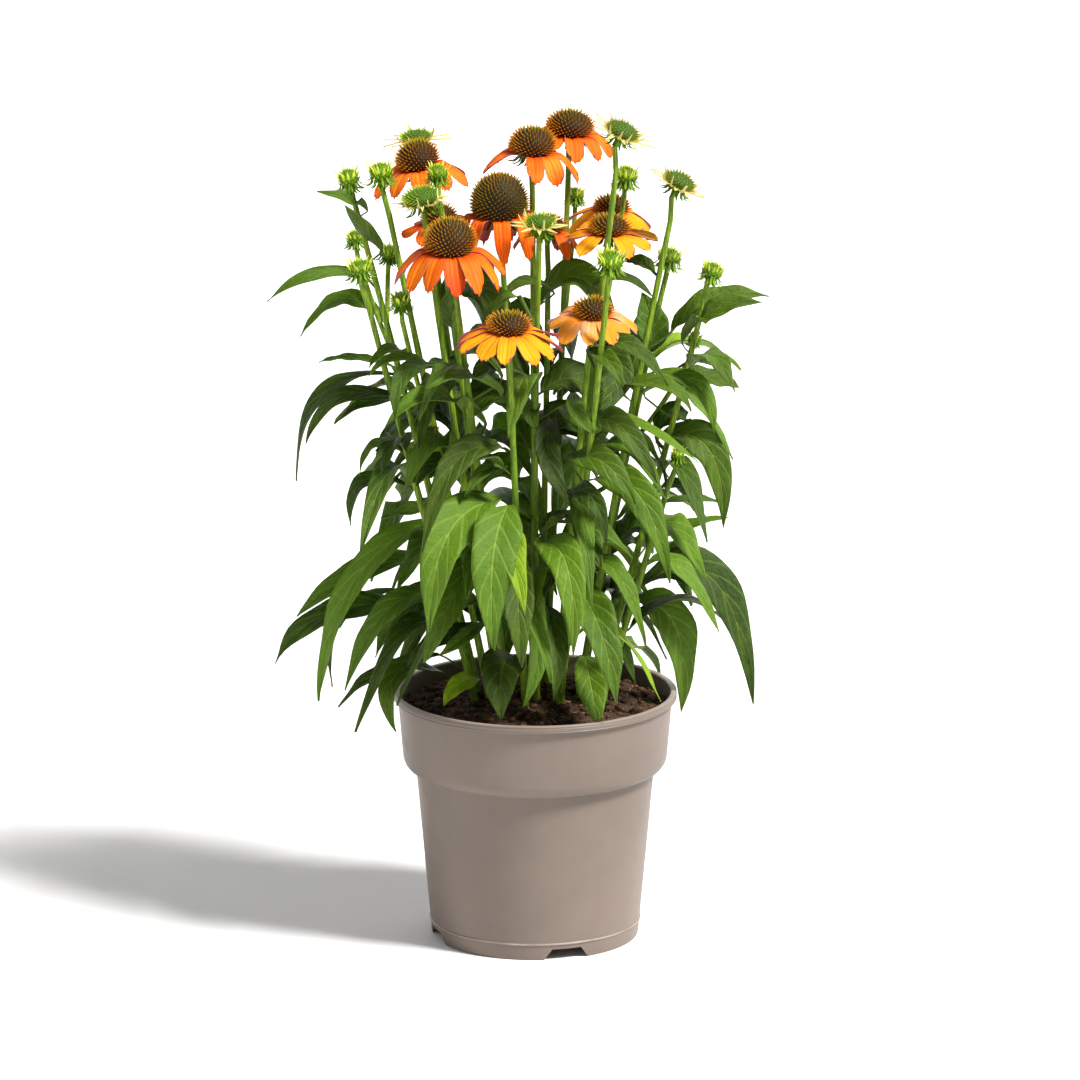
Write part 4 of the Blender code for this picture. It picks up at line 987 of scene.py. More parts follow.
def build_cone(head, seat, mats):
    """A seed cone: a dark dome set with spiralling bristles."""
    rng = random.Random(SEED * 23 + int(head.name))
    bm = new_plant_bmesh()
    radius = head.core * 0.84
    height = head.tall * 0.84
    ball = bmesh.ops.create_uvsphere(bm, u_segments=32, v_segments=16, radius=1.0)["verts"]
    for vert in ball:
        angle = math.degrees(math.asin(max(-1.0, min(1.0, vert.co.z))))
        level = max(0.0, (angle + DOME_RIM) / DOME_TURN)
        azimuth = math.degrees(math.atan2(vert.co.x, vert.co.y))
        flat = math.hypot(vert.co.x, vert.co.y)
        if level <= 0.0:
            spot = to_world(seat, radius * flat, CONE_LOW, azimuth)
        else:
            spot, _ = dome_spot(seat, radius, height, CONE_LOW, level, azimuth)
        vert.co = spot * MM
    mark(bm, bm.faces, CORE_SLOT, 0.5)
    bmesh.ops.recalc_face_normals(bm, faces=bm.faces)
    count = int(sizes().bristle_count * (head.core / 20.0) ** 1.3 * (head.tall / 25.0) ** 0.5)
    long = sizes().bristle_length / MM
    thick = 0.58
    if head.kind != "bloom":
        count = int(count * 1.3)
        long *= 0.85
        thick = 0.44
    for k in range(count):
        share = (k + 0.5) / count
        level = 1.0 - (1.0 - 0.03 - 0.97 * share) ** 0.62
        spot, out = dome_spot(seat, radius * 0.96, height * 0.96, CONE_LOW, level, GOLDEN * k)
        lean = (out + seat[1] * 0.45).normalized()
        length = long * rng.uniform(0.8, 1.15) * (1.0 - 0.45 * level ** 3)
        crown = min(1.0, max(0.0, level + rng.uniform(-0.22, 0.22)))
        add_bristle(bm, spot, lean, length, thick, BRISTLE_SLOT, crown)
    piece = finish_mesh(bm, "seed_head_" + head.name, mats, smooth=False)
    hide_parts("cone_" + head.name)


# pot and peat

LIP_R = 95.0
LIP_Z = 168.4
COLLAR_TOP_R = 92.0
COLLAR_TOP_Z = 163.5
COLLAR_LOW_R = 88.8
COLLAR_LOW_Z = 125.8
BODY_TOP_R = 79.8
BODY_TOP_Z = 114.6
BODY_LOW_R = 70.6
BODY_LOW_Z = 11.6
FOOT_R = 69.5
WALL = 1.4
FLOOR_UNDER_Z = 8.6
FLOOR_TOP_Z = 10.2
BOSS_R = 15.0
NOTCH_AZIMUTH = 17.7
NOTCH_LOW_W = 31.0
NOTCH_TOP_W = 20.0
NOTCH_H = 7.6
SOIL_EDGE_Z = 157.0
SOIL_CROWN_Z = 166.0
PEAT_R = 89.0
PEAT_RINGS = 66
PEAT_STEPS = 200
POT_STEPS = 120
FIBRES = 60

# blocks cut out of the foot ring and of the floor: near and far end, half widths at the
# bottom and at the top, then the two heights
NOTCH = (FOOT_R - 8.0, FOOT_R + 6.0, NOTCH_LOW_W / 2 + 0.4, NOTCH_TOP_W / 2, -0.4, NOTCH_H)
DRAIN = (40.0, 62.0, 3.5, 3.5, 6.0, 12.0)


def round_lip():
    """The lip in section: a rolled edge with two fine lines around it."""
    centre_z = (LIP_Z + COLLAR_TOP_Z) / 2
    half = (LIP_Z - COLLAR_TOP_Z) / 2
    points = [(COLLAR_TOP_R - WALL, COLLAR_TOP_Z - 6.0), (COLLAR_TOP_R - WALL + 0.2, LIP_Z - 1.0),
              (COLLAR_TOP_R - WALL + 0.9, LIP_Z - 0.15), (LIP_R - 1.2, LIP_Z)]
    for k in range(5):
        a = math.radians(90.0 - 22.5 * k)
        points.append((LIP_R - 0.8 + 0.8 * math.cos(a), LIP_Z - 0.8 + 0.8 * math.sin(a)))
    for line in (0.4, -0.6):
        z = centre_z + line * half
        points += [(LIP_R, z + 0.35), (LIP_R - 0.25, z), (LIP_R, z - 0.35)]
    points += [(LIP_R, COLLAR_TOP_Z + 0.5), (LIP_R - 0.4, COLLAR_TOP_Z),
               (COLLAR_TOP_R, COLLAR_TOP_Z)]
    return points


def collar_turn():
    """The rounded step from the collar down to the body."""
    points = [(COLLAR_LOW_R, COLLAR_LOW_Z)]
    for k in range(1, 8):
        a = math.radians(90.0 * k / 7.0)
        points.append((COLLAR_LOW_R - 6.6 * (1 - math.cos(a)), COLLAR_LOW_Z - 9.6 * math.sin(a)))
    points += [(BODY_TOP_R + 1.5, COLLAR_LOW_Z - 8.9), (BODY_TOP_R + 0.8, COLLAR_LOW_Z - 8.6),
               (BODY_TOP_R + 0.3, COLLAR_LOW_Z - 9.2), (BODY_TOP_R + 0.1, COLLAR_LOW_Z - 10.4),
               (BODY_TOP_R - 0.1, BODY_TOP_Z - 2.0)]
    return points


def foot_turn():
    """The fine moulding line above the foot, the foot ring and the underside."""
    return [(BODY_LOW_R + 0.05, BODY_LOW_Z + 0.4), (BODY_LOW_R + 0.6, BODY_LOW_Z - 0.2),
            (BODY_LOW_R + 0.6, BODY_LOW_Z - 0.9), (BODY_LOW_R - 0.1, BODY_LOW_Z - 1.5),
            (FOOT_R + 0.2, 1.2), (FOOT_R - 0.1, 0.25), (FOOT_R - 0.5, 0.0),
            (FOOT_R - WALL, 0.0), (FOOT_R - WALL, FLOOR_UNDER_Z),
            (BOSS_R + 1.0, FLOOR_UNDER_Z), (BOSS_R, 0.6), (BOSS_R - 0.6, 0.0), (0.0, 0.0)]


def lathe(bm, profile, steps):
    """Turn a profile of radius and height once around the pot's axis."""
    verts = [bm.verts.new((r * MM, 0.0, z * MM)) for r, z in profile]
    edges = [bm.edges.new(pair) for pair in zip(verts, verts[1:])]
    bmesh.ops.spin(bm, geom=verts + edges, cent=(0, 0, 0), axis=(0, 0, 1), angle=math.tau,
                   steps=steps, use_merge=True)
    bmesh.ops.remove_doubles(bm, verts=bm.verts, dist=0.00001)
    bmesh.ops.recalc_face_normals(bm, faces=bm.faces)


def wedge(azimuth, near, far, low_half, high_half, low_z, high_z):
    """A block that points away from the pot's axis."""
    bm = bmesh.new()
    bmesh.ops.create_cube(bm, size=1.0)
    for vert in bm.verts:
        high = vert.co.z > 0
        half = math.copysign(high_half if high else low_half, vert.co.y)
        vert.co = mm((far if vert.co.x > 0 else near, half, high_z if high else low_z))
    turn = Matrix.Rotation(math.radians(azimuth - 90.0), 4, "Z")
    bmesh.ops.transform(bm, matrix=turn, verts=bm.verts)
    bmesh.ops.recalc_face_normals(bm, faces=bm.faces)
    return bm


def cut_with(piece, block):
    """Cut one block out of a piece and drop the block."""
    mesh = bpy.data.meshes.new("block")
    block.to_mesh(mesh)
    block.free()
    cutter = bpy.data.objects.new("block", mesh)
    bpy.context.scene.collection.objects.link(cutter)
    cut = piece.modifiers.new("cut", "BOOLEAN")
    cut.operation = "DIFFERENCE"
    cut.object = cutter
    cut.solver = "EXACT"
    bpy.context.view_layer.update()
    graph = bpy.context.evaluated_depsgraph_get()
    made = bpy.data.meshes.new_from_object(piece.evaluated_get(graph))
    piece.modifiers.clear()
    piece.data = made
    bpy.data.objects.remove(cutter, do_unlink=True)


def build_pot(mats):
    """The pot: a turned profile with its notches and drain slots cut out."""
    bm = bmesh.new()
    inner = [(0.0, FLOOR_TOP_Z), (BODY_LOW_R - WALL, FLOOR_TOP_Z),
             (BODY_TOP_R - WALL, BODY_TOP_Z - 1.0), (COLLAR_LOW_R - 5.2, COLLAR_LOW_Z - 6.4),
             (COLLAR_LOW_R - WALL - 0.6, COLLAR_LOW_Z - 2.0)]
    lathe(bm, inner + round_lip() + collar_turn() + foot_turn(), POT_STEPS)
    piece = finish_mesh(bm, "nursery_pot", mats)
    for quarter in range(4):
        azimuth = NOTCH_AZIMUTH + 90.0 * quarter
        cut_with(piece, wedge(azimuth, *NOTCH))
        cut_with(piece, wedge(azimuth, *DRAIN))
        cut_with(piece, wedge(azimuth + 45.0, *DRAIN))
    piece.data.set_sharp_from_angle(angle=math.radians(35.0))
    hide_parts("pot")


def peat_height(x, y):
    """Height of the peat's surface in millimetres, crumbly at two scales."""
    reach = math.hypot(x, y) / PEAT_R
    mound = SOIL_CROWN_Z - (SOIL_CROWN_Z - SOIL_EDGE_Z) * min(1.0, reach) ** 2.2
    coarse = noise.noise(Vector((x, y, 3.0)) * 0.055) * 3.2
    fine = noise.noise(Vector((x, y, 9.0)) * 0.21) * 1.7
    crumb = noise.noise(Vector((x, y, 5.0)) * 0.6) * 0.7
    return mound - 0.8 + coarse + fine + crumb


def add_lump(bm, rng):
    """A loose crumb of peat or bark, half sunk."""
    reach = (PEAT_R - 1.0) * math.sqrt(rng.random())
    a = rng.uniform(0.0, math.tau)
    x, y = reach * math.cos(a), reach * math.sin(a)
    size = rng.uniform(0.7, 2.8) * (1.6 if rng.random() < 0.12 else 1.0)
    if reach + size * 1.6 > PEAT_R:
        return
    made = bmesh.ops.create_icosphere(bm, subdivisions=1, radius=size * MM)["verts"]
    for vert in made:
        vert.co *= 1.0 + 0.7 * noise.noise(vert.co * 700.0 + Vector((x, y, 0.0)))
    stretch = Matrix.Diagonal((rng.uniform(0.7, 1.6), rng.uniform(0.7, 1.3), 0.7, 1.0))
    turn = Matrix.Rotation(rng.uniform(0.0, math.tau), 4, "Z")
    place = Matrix.Translation(mm((x, y, peat_height(x, y) + size * 0.25)))
    bmesh.ops.transform(bm, matrix=place @ turn @ stretch, verts=made)
    mark(bm, faces_of(made), CRUMB_SLOT, rng.random())


def add_fibre(bm, rng):
    """A short straw of fibre lying on the peat."""
    reach = (PEAT_R - 9.0) * math.sqrt(rng.random())
    a = rng.uniform(0.0, math.tau)
    start = Vector((reach * math.cos(a), reach * math.sin(a), 0.0))
    heading = rng.uniform(0.0, math.tau)
    length = rng.uniform(5.0, 15.0)
    points = []
    for k in range(5):
        bend = heading + 0.5 * math.sin(k * 1.1 + reach)
        spot = start + Vector((math.cos(bend), math.sin(bend), 0.0)) * length * (k / 4.0 - 0.5)
        if math.hypot(spot.x, spot.y) > PEAT_R - 2.0:
            return
        spot.z = peat_height(spot.x, spot.y) + 0.5 + 0.5 * math.sin(k + reach)
        points.append(spot)
    sweep(bm, points, [0.18, 0.3, 0.32, 0.28, 0.12], 5, STRAW_SLOT, rng.random())


def build_peat(mats):
    """The peat's body down to the floor of the pot, with lumps and fibres on top."""
    rng = random.Random(SEED + 5)
    bm = new_plant_bmesh()
    edge = PEAT_R + 0.4
    profile = [(edge * k / PEAT_RINGS, SOIL_CROWN_Z) for k in range(PEAT_RINGS + 1)]
    profile += [(edge, SOIL_EDGE_Z - 6.0), (edge - 4.0, COLLAR_LOW_Z - 1.0),
                (BODY_TOP_R - 2.0, BODY_TOP_Z), (BODY_LOW_R - 2.0, FLOOR_TOP_Z + 0.6),
                (0.0, FLOOR_TOP_Z + 0.6)]
    lathe(bm, profile, PEAT_STEPS)
    for vert in bm.verts:
        if vert.co.z > (SOIL_CROWN_Z - 1.0) * MM:
            vert.co.z = peat_height(vert.co.x / MM, vert.co.y / MM) * MM
    mark(bm, bm.faces, CRUMB_SLOT, 0.5)
    for _ in range(sizes().soil_lumps):
        add_lump(bm, rng)
    for _ in range(FIBRES):
        add_fibre(bm, rng)
    piece = finish_mesh(bm, "peat", mats)
    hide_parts("soil")


# finishes

def add_sockets(group, ins, outs):
    for kind, name, value in ins:
        sock = group.interface.new_socket(name=name, in_out="INPUT", socket_type=kind)
        if value is not None:
            sock.default_value = value
    for kind, name in outs:
        group.interface.new_socket(name=name, in_out="OUTPUT", socket_type=kind)


class Nodes:
    """A short way to place and wire shader nodes."""

    def __init__(self, tree):
        self.tree = tree

    def add(self, kind, **values):
        node = self.tree.nodes.new(kind)
        for key, value in values.items():
            setattr(node, key, value)
        return node

    def link(self, a, b):
        self.tree.links.new(a, b)

    def feed(self, sock, value):
        if isinstance(value, bpy.types.NodeSocket):
            self.link(value, sock)
        else:
            sock.default_value = value

    def math(self, operation, a, b=0.0, clamp=False):
        node = self.add("ShaderNodeMath", operation=operation, use_clamp=clamp)
        self.feed(node.inputs[0], a)
        self.feed(node.inputs[1], b)
        return node.outputs[0]

    def times(self, a, b, clamp=False):
        return self.math("MULTIPLY", a, b, clamp)

    def plus(self, a, b):
        return self.math("ADD", a, b)

    def mix(self, share, a, b, blend="MIX"):
        node = self.add("ShaderNodeMix", data_type="RGBA", blend_type=blend)
        self.feed(node.inputs[0], share)
        self.feed(node.inputs[6], a)
        self.feed(node.inputs[7], b)
        return node.outputs[2]

    def noise(self, vector, scale, detail=3.0, rough=0.55):
        node = self.add("ShaderNodeTexNoise")
        self.feed(node.inputs["Vector"], vector)
        node.inputs["Scale"].default_value = scale
        node.inputs["Detail"].default_value = detail
        node.inputs["Roughness"].default_value = rough
        return node.outputs["Fac"]

    def ramp(self, fac, stops):
        node = self.add("ShaderNodeValToRGB")
        elements = node.color_ramp.elements
        while len(elements) < len(stops):
            elements.new(0.5)
        for element, (place, colour) in zip(elements, stops):
            element.position = place
            element.color = colour
        self.feed(node.inputs[0], fac)
        return node.outputs[0]

    def range(self, value, low, high):
        """A share that is 0 at low and 1 at high."""
        node = self.add("ShaderNodeMapRange")
        self.feed(node.inputs[0], value)
        node.inputs[1].default_value = low
        node.inputs[2].default_value = high
        return node.outputs[0]

    def stretch(self, vector, scale):
        node = self.add("ShaderNodeMapping")
        self.feed(node.inputs["Vector"], vector)
        node.inputs["Scale"].default_value = scale
        return node.outputs[0]

    def attribute(self, name):
        return self.add("ShaderNodeAttribute", attribute_name=name).outputs["Fac"]

    def bump(self, height, strength, distance):
        node = self.add("ShaderNodeBump")
        self.feed(node.inputs["Height"], height)
        node.inputs["Strength"].default_value = strength
        node.inputs["Distance"].default_value = distance
        return node.outputs[0]


def rgb(red, green, blue):
    return (red, green, blue, 1.0)


def grey(value):
    return rgb(value, value, value)


def tissue_group():
    """Mottling of living tissue: light and dark patches, and a fine cell grain."""
    group = bpy.data.node_groups.new("Plant tissue", "ShaderNodeTree")
    add_sockets(group,
                [("NodeSocketColor", "Colour", rgb(0.2, 0.3, 0.1)),
                 ("NodeSocketFloat", "Variation", 0.3), ("NodeSocketFloat", "Tint", 0.5),
                 ("NodeSocketColor", "Warm", rgb(0.3, 0.3, 0.05))],
                [("NodeSocketColor", "Colour"), ("NodeSocketFloat", "Grain")])
    n = Nodes(group)
    given = n.add("NodeGroupInput")
    out = n.add("NodeGroupOutput")
    place = n.add("ShaderNodeTexCoord").outputs["Object"]
    patches = n.noise(place, 95.0, 4.0)
    grain = n.noise(place, 1400.0, 2.0)
    level = n.math("SUBTRACT", n.plus(n.times(patches, 0.8), given.outputs["Tint"]), 0.9)
    bright = n.plus(1.0, n.times(level, given.outputs["Variation"]))
    scaled = n.mix(1.0, given.outputs["Colour"], n.ramp(n.range(bright, 0.4, 1.6),
                   [(0.0, grey(0.42)), (0.5, grey(0.84)), (1.0, grey(1.0))]), "MULTIPLY")
    warmth = n.times(n.range(n.noise(place, 38.0, 2.0), 0.5, 0.75), 0.5, True)
    n.link(n.mix(warmth, scaled, given.outputs["Warm"]), out.inputs["Colour"])
    crinkle = n.times(n.noise(place, 240.0, 3.0), 2.2)
    n.link(n.plus(grain, crinkle), out.inputs["Grain"])
    return group


def vein_group():
    """Lines along a blade, slanting side veins and the midrib, from the blade's own map."""
    group = bpy.data.node_groups.new("Blade veins", "ShaderNodeTree")
    add_sockets(group,
                [("NodeSocketFloat", "Lines", 9.0), ("NodeSocketFloat", "Midrib width", 0.05)],
                [("NodeSocketFloat", "Veins"), ("NodeSocketFloat", "Midrib"),
                 ("NodeSocketFloat", "Along"), ("NodeSocketFloat", "Side veins")])
    n = Nodes(group)
    given = n.add("NodeGroupInput")
    out = n.add("NodeGroupOutput")
    split = n.add("ShaderNodeSeparateXYZ")
    chart = n.add("ShaderNodeUVMap", uv_map="UVMap")
    n.link(chart.outputs[0], split.inputs[0])
    aside = n.math("ABSOLUTE", n.math("SUBTRACT", split.outputs["X"], 0.5))
    wander = n.times(n.noise(n.stretch(chart.outputs[0], (3.0, 6.0, 1.0)), 2.0, 1.0), 0.05)
    angle = n.times(n.plus(aside, wander),
                   n.times(given.outputs["Lines"], 6.2832))
    wave = n.plus(n.times(n.math("SINE", angle), 0.5), 0.5)
    n.link(n.math("POWER", wave, 3.0), out.inputs["Veins"])
    share = n.math("DIVIDE", aside, given.outputs["Midrib width"])
    n.link(n.math("SUBTRACT", 1.0, share, True), out.inputs["Midrib"])
    n.link(split.outputs["Y"], out.inputs["Along"])
    slant = n.math("SUBTRACT", n.times(split.outputs["Y"], 7.0), n.times(aside, 3.2))
    ripple = n.math("SINE", n.times(n.plus(slant, wander), 6.2832))
    crest = n.plus(n.times(ripple, 0.5), 0.5)
    n.link(n.math("POWER", crest, 9.0), out.inputs["Side veins"])
    return group


def shared_group(name, make):
    found = bpy.data.node_groups.get(name)
    return found if found else make()


def new_finish(name, rough, specular):
    mat = bpy.data.materials.new(name)
    mat.use_nodes = True
    n = Nodes(mat.node_tree)
    shader = mat.node_tree.nodes["Principled BSDF"]
    shader.inputs["Roughness"].default_value = rough
    shader.inputs["Specular IOR Level"].default_value = specular
    return mat, n, shader


def place_group(n, group, **values):
    node = n.add("ShaderNodeGroup")
    node.node_tree = group
    for key, value in values.items():
        n.feed(node.inputs[key.replace("_", " ")], value)
    return node


def tissue(n, colour, warm, variation):
    group = shared_group("Plant tissue", tissue_group)
    return place_group(n, group, Colour=colour, Warm=warm, Variation=variation,
                       Tint=n.attribute("tint"))


def veins(n, lines, midrib):
    group = shared_group("Blade veins", vein_group)
    return place_group(n, group, Lines=lines, Midrib_width=midrib)


def leaf_finish(name, colour, warm, vein_colour, strength):
    """Leaf skin: fine side veins, a sunk pale midrib, mottling, yellowing and a papery bump."""
    mat, n, shader = new_finish(name, 0.46, 0.22)
    lines = veins(n, 3.0, 0.038)
    base = tissue(n, colour, warm, 1.25)
    veined = n.mix(n.times(lines.outputs["Veins"], strength), base.outputs["Colour"],
                   vein_colour)
    netted = n.mix(n.times(lines.outputs["Side veins"], 0.26), veined, vein_colour)
    ribbed = n.mix(n.times(lines.outputs["Midrib"], 0.60), netted, vein_colour)
    aged = n.mix(n.times(n.attribute("age"), 0.85), ribbed, rgb(0.38, 0.58, 0.014))
    depth = n.ramp(n.attribute("tint"), [(0.0, grey(0.50)), (0.5, grey(0.80)), (1.0, grey(1.0))])
    n.link(n.mix(1.0, aged, depth, "MULTIPLY"), shader.inputs["Base Color"])
    height = n.plus(n.times(lines.outputs["Veins"], -0.05),
                    n.times(base.outputs["Grain"], 0.70))
    sunk = n.plus(lines.outputs["Midrib"], n.times(lines.outputs["Side veins"], 0.5))
    dented = n.math("SUBTRACT", height, n.times(sunk, 0.9))
    n.link(n.bump(dented, 0.80, 0.0009), shader.inputs["Normal"])
    shader.inputs["Subsurface Weight"].default_value = 0.10
    shader.inputs["Subsurface Radius"].default_value = (0.002, 0.003, 0.0008)
    shader.inputs["Subsurface Scale"].default_value = 1.0
    return mat


def stem_finish():
    """Pale green stem, ridged along its length and speckled with short hairs."""
    mat, n, shader = new_finish("Stem skin", 0.5, 0.22)
    place = n.add("ShaderNodeTexCoord").outputs["Object"]
    base = tissue(n, colours().stem, rgb(0.40, 0.48, 0.035), 0.8)
    ridges = n.noise(n.stretch(place, (1.0, 1.0, 0.04)), 900.0, 2.0)
    shaded = n.mix(n.range(ridges, 0.42, 0.60), rgb(0.10, 0.19, 0.010), base.outputs["Colour"])
    specks = n.range(n.noise(n.stretch(place, (1.0, 1.0, 0.3)), 1500.0, 1.0), 0.62, 0.72)
    flecked = n.mix(n.times(specks, 0.30), shaded, rgb(0.52, 0.58, 0.22))
    n.link(flecked, shader.inputs["Base Color"])
    height = n.plus(ridges, n.times(specks, 0.6))
    n.link(n.bump(height, 0.6, 0.0005), shader.inputs["Normal"])
    return mat


def bract_finish():
    """Bracts and closed buds: dark green at the root, fresh green, then yellow at the point."""
    mat, n, shader = new_finish("Bract skin", 0.5, 0.2)
    base = tissue(n, rgb(1.0, 1.0, 1.0), rgb(0.75, 0.80, 0.45), 0.9)
    tone = n.ramp(n.attribute("rise"), [(0.0, rgb(0.11, 0.24, 0.008)),
                  (0.35, rgb(0.28, 0.50, 0.012)), (0.70, rgb(0.66, 0.84, 0.040)),
                  (1.0, rgb(1.0, 0.92, 0.22))])
    n.link(n.mix(1.0, base.outputs["Colour"], tone, "MULTIPLY"), shader.inputs["Base Color"])
    n.link(n.bump(base.outputs["Grain"], 0.4, 0.0005), shader.inputs["Normal"])
    return mat


def petal_finish(name, colour, root, edge, flush, dark=0.5):
    """A ray's skin: ribbed, redder at its root, lighter at its tip, some flushed with red."""
    mat, n, shader = new_finish(name, 0.55, 0.12)
    lines = veins(n, 5.0, 0.04)
    base = tissue(n, colour, edge, 0.45)
    rooted = n.mix(n.range(lines.outputs["Along"], 0.50, 0.10), base.outputs["Colour"], root)
    veins_and_groove_shade = n.mix(n.times(lines.outputs["Veins"], dark), rooted, root)
    # dark stripes along the sunk veins: partly vein colour, partly painted shade in the grooves
    lately = n.range(n.attribute("tint"), 0.80, 1.0)
    tipped = n.times(lately, n.range(lines.outputs["Along"], 0.25, 0.9))
    n.link(n.mix(tipped, veins_and_groove_shade, flush), shader.inputs["Base Color"])
    height = n.plus(n.times(lines.outputs["Veins"], -0.8),
                    n.times(base.outputs["Grain"], 0.3))
    n.link(n.bump(height, 0.55, 0.0005), shader.inputs["Normal"])
    shader.inputs["Subsurface Weight"].default_value = 0.12
    shader.inputs["Subsurface Radius"].default_value = (0.004, 0.0015, 0.0008)
    shader.inputs["Subsurface Scale"].default_value = 1.0
    return mat


def bristle_finish(name, root, middle, tip, crown):
    """Bristles that change colour from root to point, and greener ones at the crown."""
    mat, n, shader = new_finish(name, 0.42, 0.25)
    tone = n.ramp(n.attribute("rise"), [(0.0, root), (0.45, middle), (1.0, tip)])
    green = n.ramp(n.attribute("rise"), [(0.0, root), (0.55, crown), (1.0, tip)])
    share = n.range(n.attribute("tint"), 0.42, 0.90)
    n.link(n.mix(share, tone, green), shader.inputs["Base Color"])
    return mat


def core_finish(name, colour):
    """The dark body of a cone between its bristles."""
    mat, n, shader = new_finish(name, 0.7, 0.2)
    place = n.add("ShaderNodeTexCoord").outputs["Object"]
    mottle = n.noise(place, 420.0, 3.0)
    lit = tuple(min(1.0, 2.4 * c) for c in colour[:3]) + (1.0,)
    n.link(n.mix(mottle, colour, lit), shader.inputs["Base Color"])
    n.link(n.bump(mottle, 0.8, 0.0008), shader.inputs["Normal"])
    return mat


def pot_finish():
    """Moulded plastic: satin and dusty, with a painted highlight on the lip's top and a pale
    moulding line.
    """
    mat, n, shader = new_finish("Pot plastic", 0.5, 0.38)
    place = n.add("ShaderNodeTexCoord").outputs["Object"]
    cloud = n.noise(place, 14.0, 4.0)
    streak = n.noise(n.stretch(place, (1.0, 1.0, 0.06)), 160.0, 3.0)
    dust = n.range(n.noise(place, 55.0, 5.0, 0.7), 0.52, 0.78)
    lit = tuple(c * 1.12 for c in colours().pot[:3]) + (1.0,)
    dark = tuple(c * 0.90 for c in colours().pot[:3]) + (1.0,)
    base = n.mix(n.range(cloud, 0.3, 0.7), dark, lit)
    streaked = n.mix(n.times(n.range(streak, 0.45, 0.75), 0.015), base, grey(0.45))
    dusty = n.mix(n.times(dust, 0.12), streaked, rgb(0.20, 0.15, 0.11))
    split = n.add("ShaderNodeSeparateXYZ")
    n.link(place, split.inputs[0])
    worn = n.range(n.noise(place, 60.0, 4.0), 0.30, 0.70)
    above = n.math("ABSOLUTE", n.math("SUBTRACT", split.outputs["Z"], (BODY_LOW_Z - 0.4) * MM))
    seam = n.times(n.range(above, 0.0006, 0.0002), worn)
    # painted highlight: the top 0.6 mm of the lip is lightened towards the pale colour
    rim = n.times(n.range(split.outputs["Z"], (LIP_Z - 0.6) * MM, LIP_Z * MM), 0.3)
    lined = n.mix(n.math("MAXIMUM", n.times(seam, 0.75), rim), dusty, rgb(0.46, 0.39, 0.33))
    n.link(lined, shader.inputs["Base Color"])
    rough = n.plus(0.42, n.times(dust, 0.2))
    n.link(n.plus(rough, n.times(streak, 0.08)), shader.inputs["Roughness"])
    pebble = n.noise(place, 900.0, 2.0)
    height = n.plus(n.times(streak, 0.12), n.times(pebble, 0.35))
    n.link(n.bump(height, 0.18, 0.0006), shader.inputs["Normal"])
    return mat


def peat_finish():
    """Moist peat: near black with brown crumbs and fibre."""
    mat, n, shader = new_finish("Peat", 0.92, 0.2)
    place = n.add("ShaderNodeTexCoord").outputs["Object"]
    crumbs = n.noise(place, 260.0, 6.0, 0.7)
    fibre = n.noise(n.stretch(place, (1.0, 0.18, 1.0)), 700.0, 4.0)
    dark = n.mix(n.range(crumbs, 0.35, 0.7), rgb(0.014, 0.008, 0.005), rgb(0.11, 0.058, 0.031))
    lit = n.mix(n.range(fibre, 0.60, 0.78), dark, rgb(0.25, 0.145, 0.080))
    tinted = n.mix(n.range(n.attribute("tint"), 0.55, 1.0), lit, rgb(0.21, 0.105, 0.050))
    n.link(tinted, shader.inputs["Base Color"])
    height = n.plus(crumbs, n.times(fibre, 0.4))
    n.link(n.bump(height, 1.0, 0.0016), shader.inputs["Normal"])
    return mat


def straw_finish():
    """Dry fibre that lies on the peat."""
    mat, n, shader = new_finish("Straw", 0.8, 0.3)
    place = n.add("ShaderNodeTexCoord").outputs["Object"]
    streak = n.noise(place, 500.0, 3.0)
    tone = n.mix(streak, rgb(0.20, 0.12, 0.06), rgb(0.46, 0.33, 0.19))
    n.link(tone, shader.inputs["Base Color"])
    return mat


def foliage_finishes():
    """Finishes of stems, blades and bracts, in the order of their slots."""
    upper = leaf_finish("Leaf upper side", tuple(colours().leaf), rgb(0.105, 0.215, 0.009),
                        rgb(0.27, 0.40, 0.06), 0.02)
    under = leaf_finish("Leaf lower side", tuple(colours().leaf_under), rgb(0.14, 0.23, 0.035),
                        rgb(0.27, 0.37, 0.10), 0.08)
    return [stem_finish(), upper, under, bract_finish()]


def petal_finishes():
    """Upper and lower finishes of the rays, by kind."""
    wine = rgb(0.30, 0.045, 0.065)
    rose = rgb(0.72, 0.40, 0.36)
    under = petal_finish("Petal lower side", tuple(colours().petal_under), rgb(0.30, 0.05, 0.06),
                         rgb(0.60, 0.26, 0.22), wine)
    pale = petal_finish("Pale lower side", rgb(0.78, 0.50, 0.48), rgb(0.55, 0.22, 0.22),
                        rgb(0.90, 0.66, 0.60), rose)
    orange = petal_finish("Orange petal", tuple(colours().petal_orange), rgb(0.72, 0.055, 0.005),
                          rgb(1.0, 0.34, 0.015), rgb(0.62, 0.050, 0.010))
    amber = petal_finish("Amber petal", tuple(colours().petal_amber), rgb(0.95, 0.22, 0.008),
                         rgb(1.0, 0.54, 0.030), rgb(0.95, 0.18, 0.012), 0.25)
    blush = petal_finish("Blush petal", tuple(colours().petal_blush), rgb(0.95, 0.26, 0.02),
                         rgb(0.95, 0.60, 0.50), rose, 0.25)
    cream = petal_finish("Cream ray", tuple(colours().cream), rgb(0.45, 0.54, 0.10),
                         rgb(0.92, 0.80, 0.46), rgb(0.86, 0.48, 0.22), 0.2)
    return {"petal_orange": [orange, under], "petal_amber": [amber, under],
            "petal_blush": [blush, pale], "ray_cream": [cream, cream]}


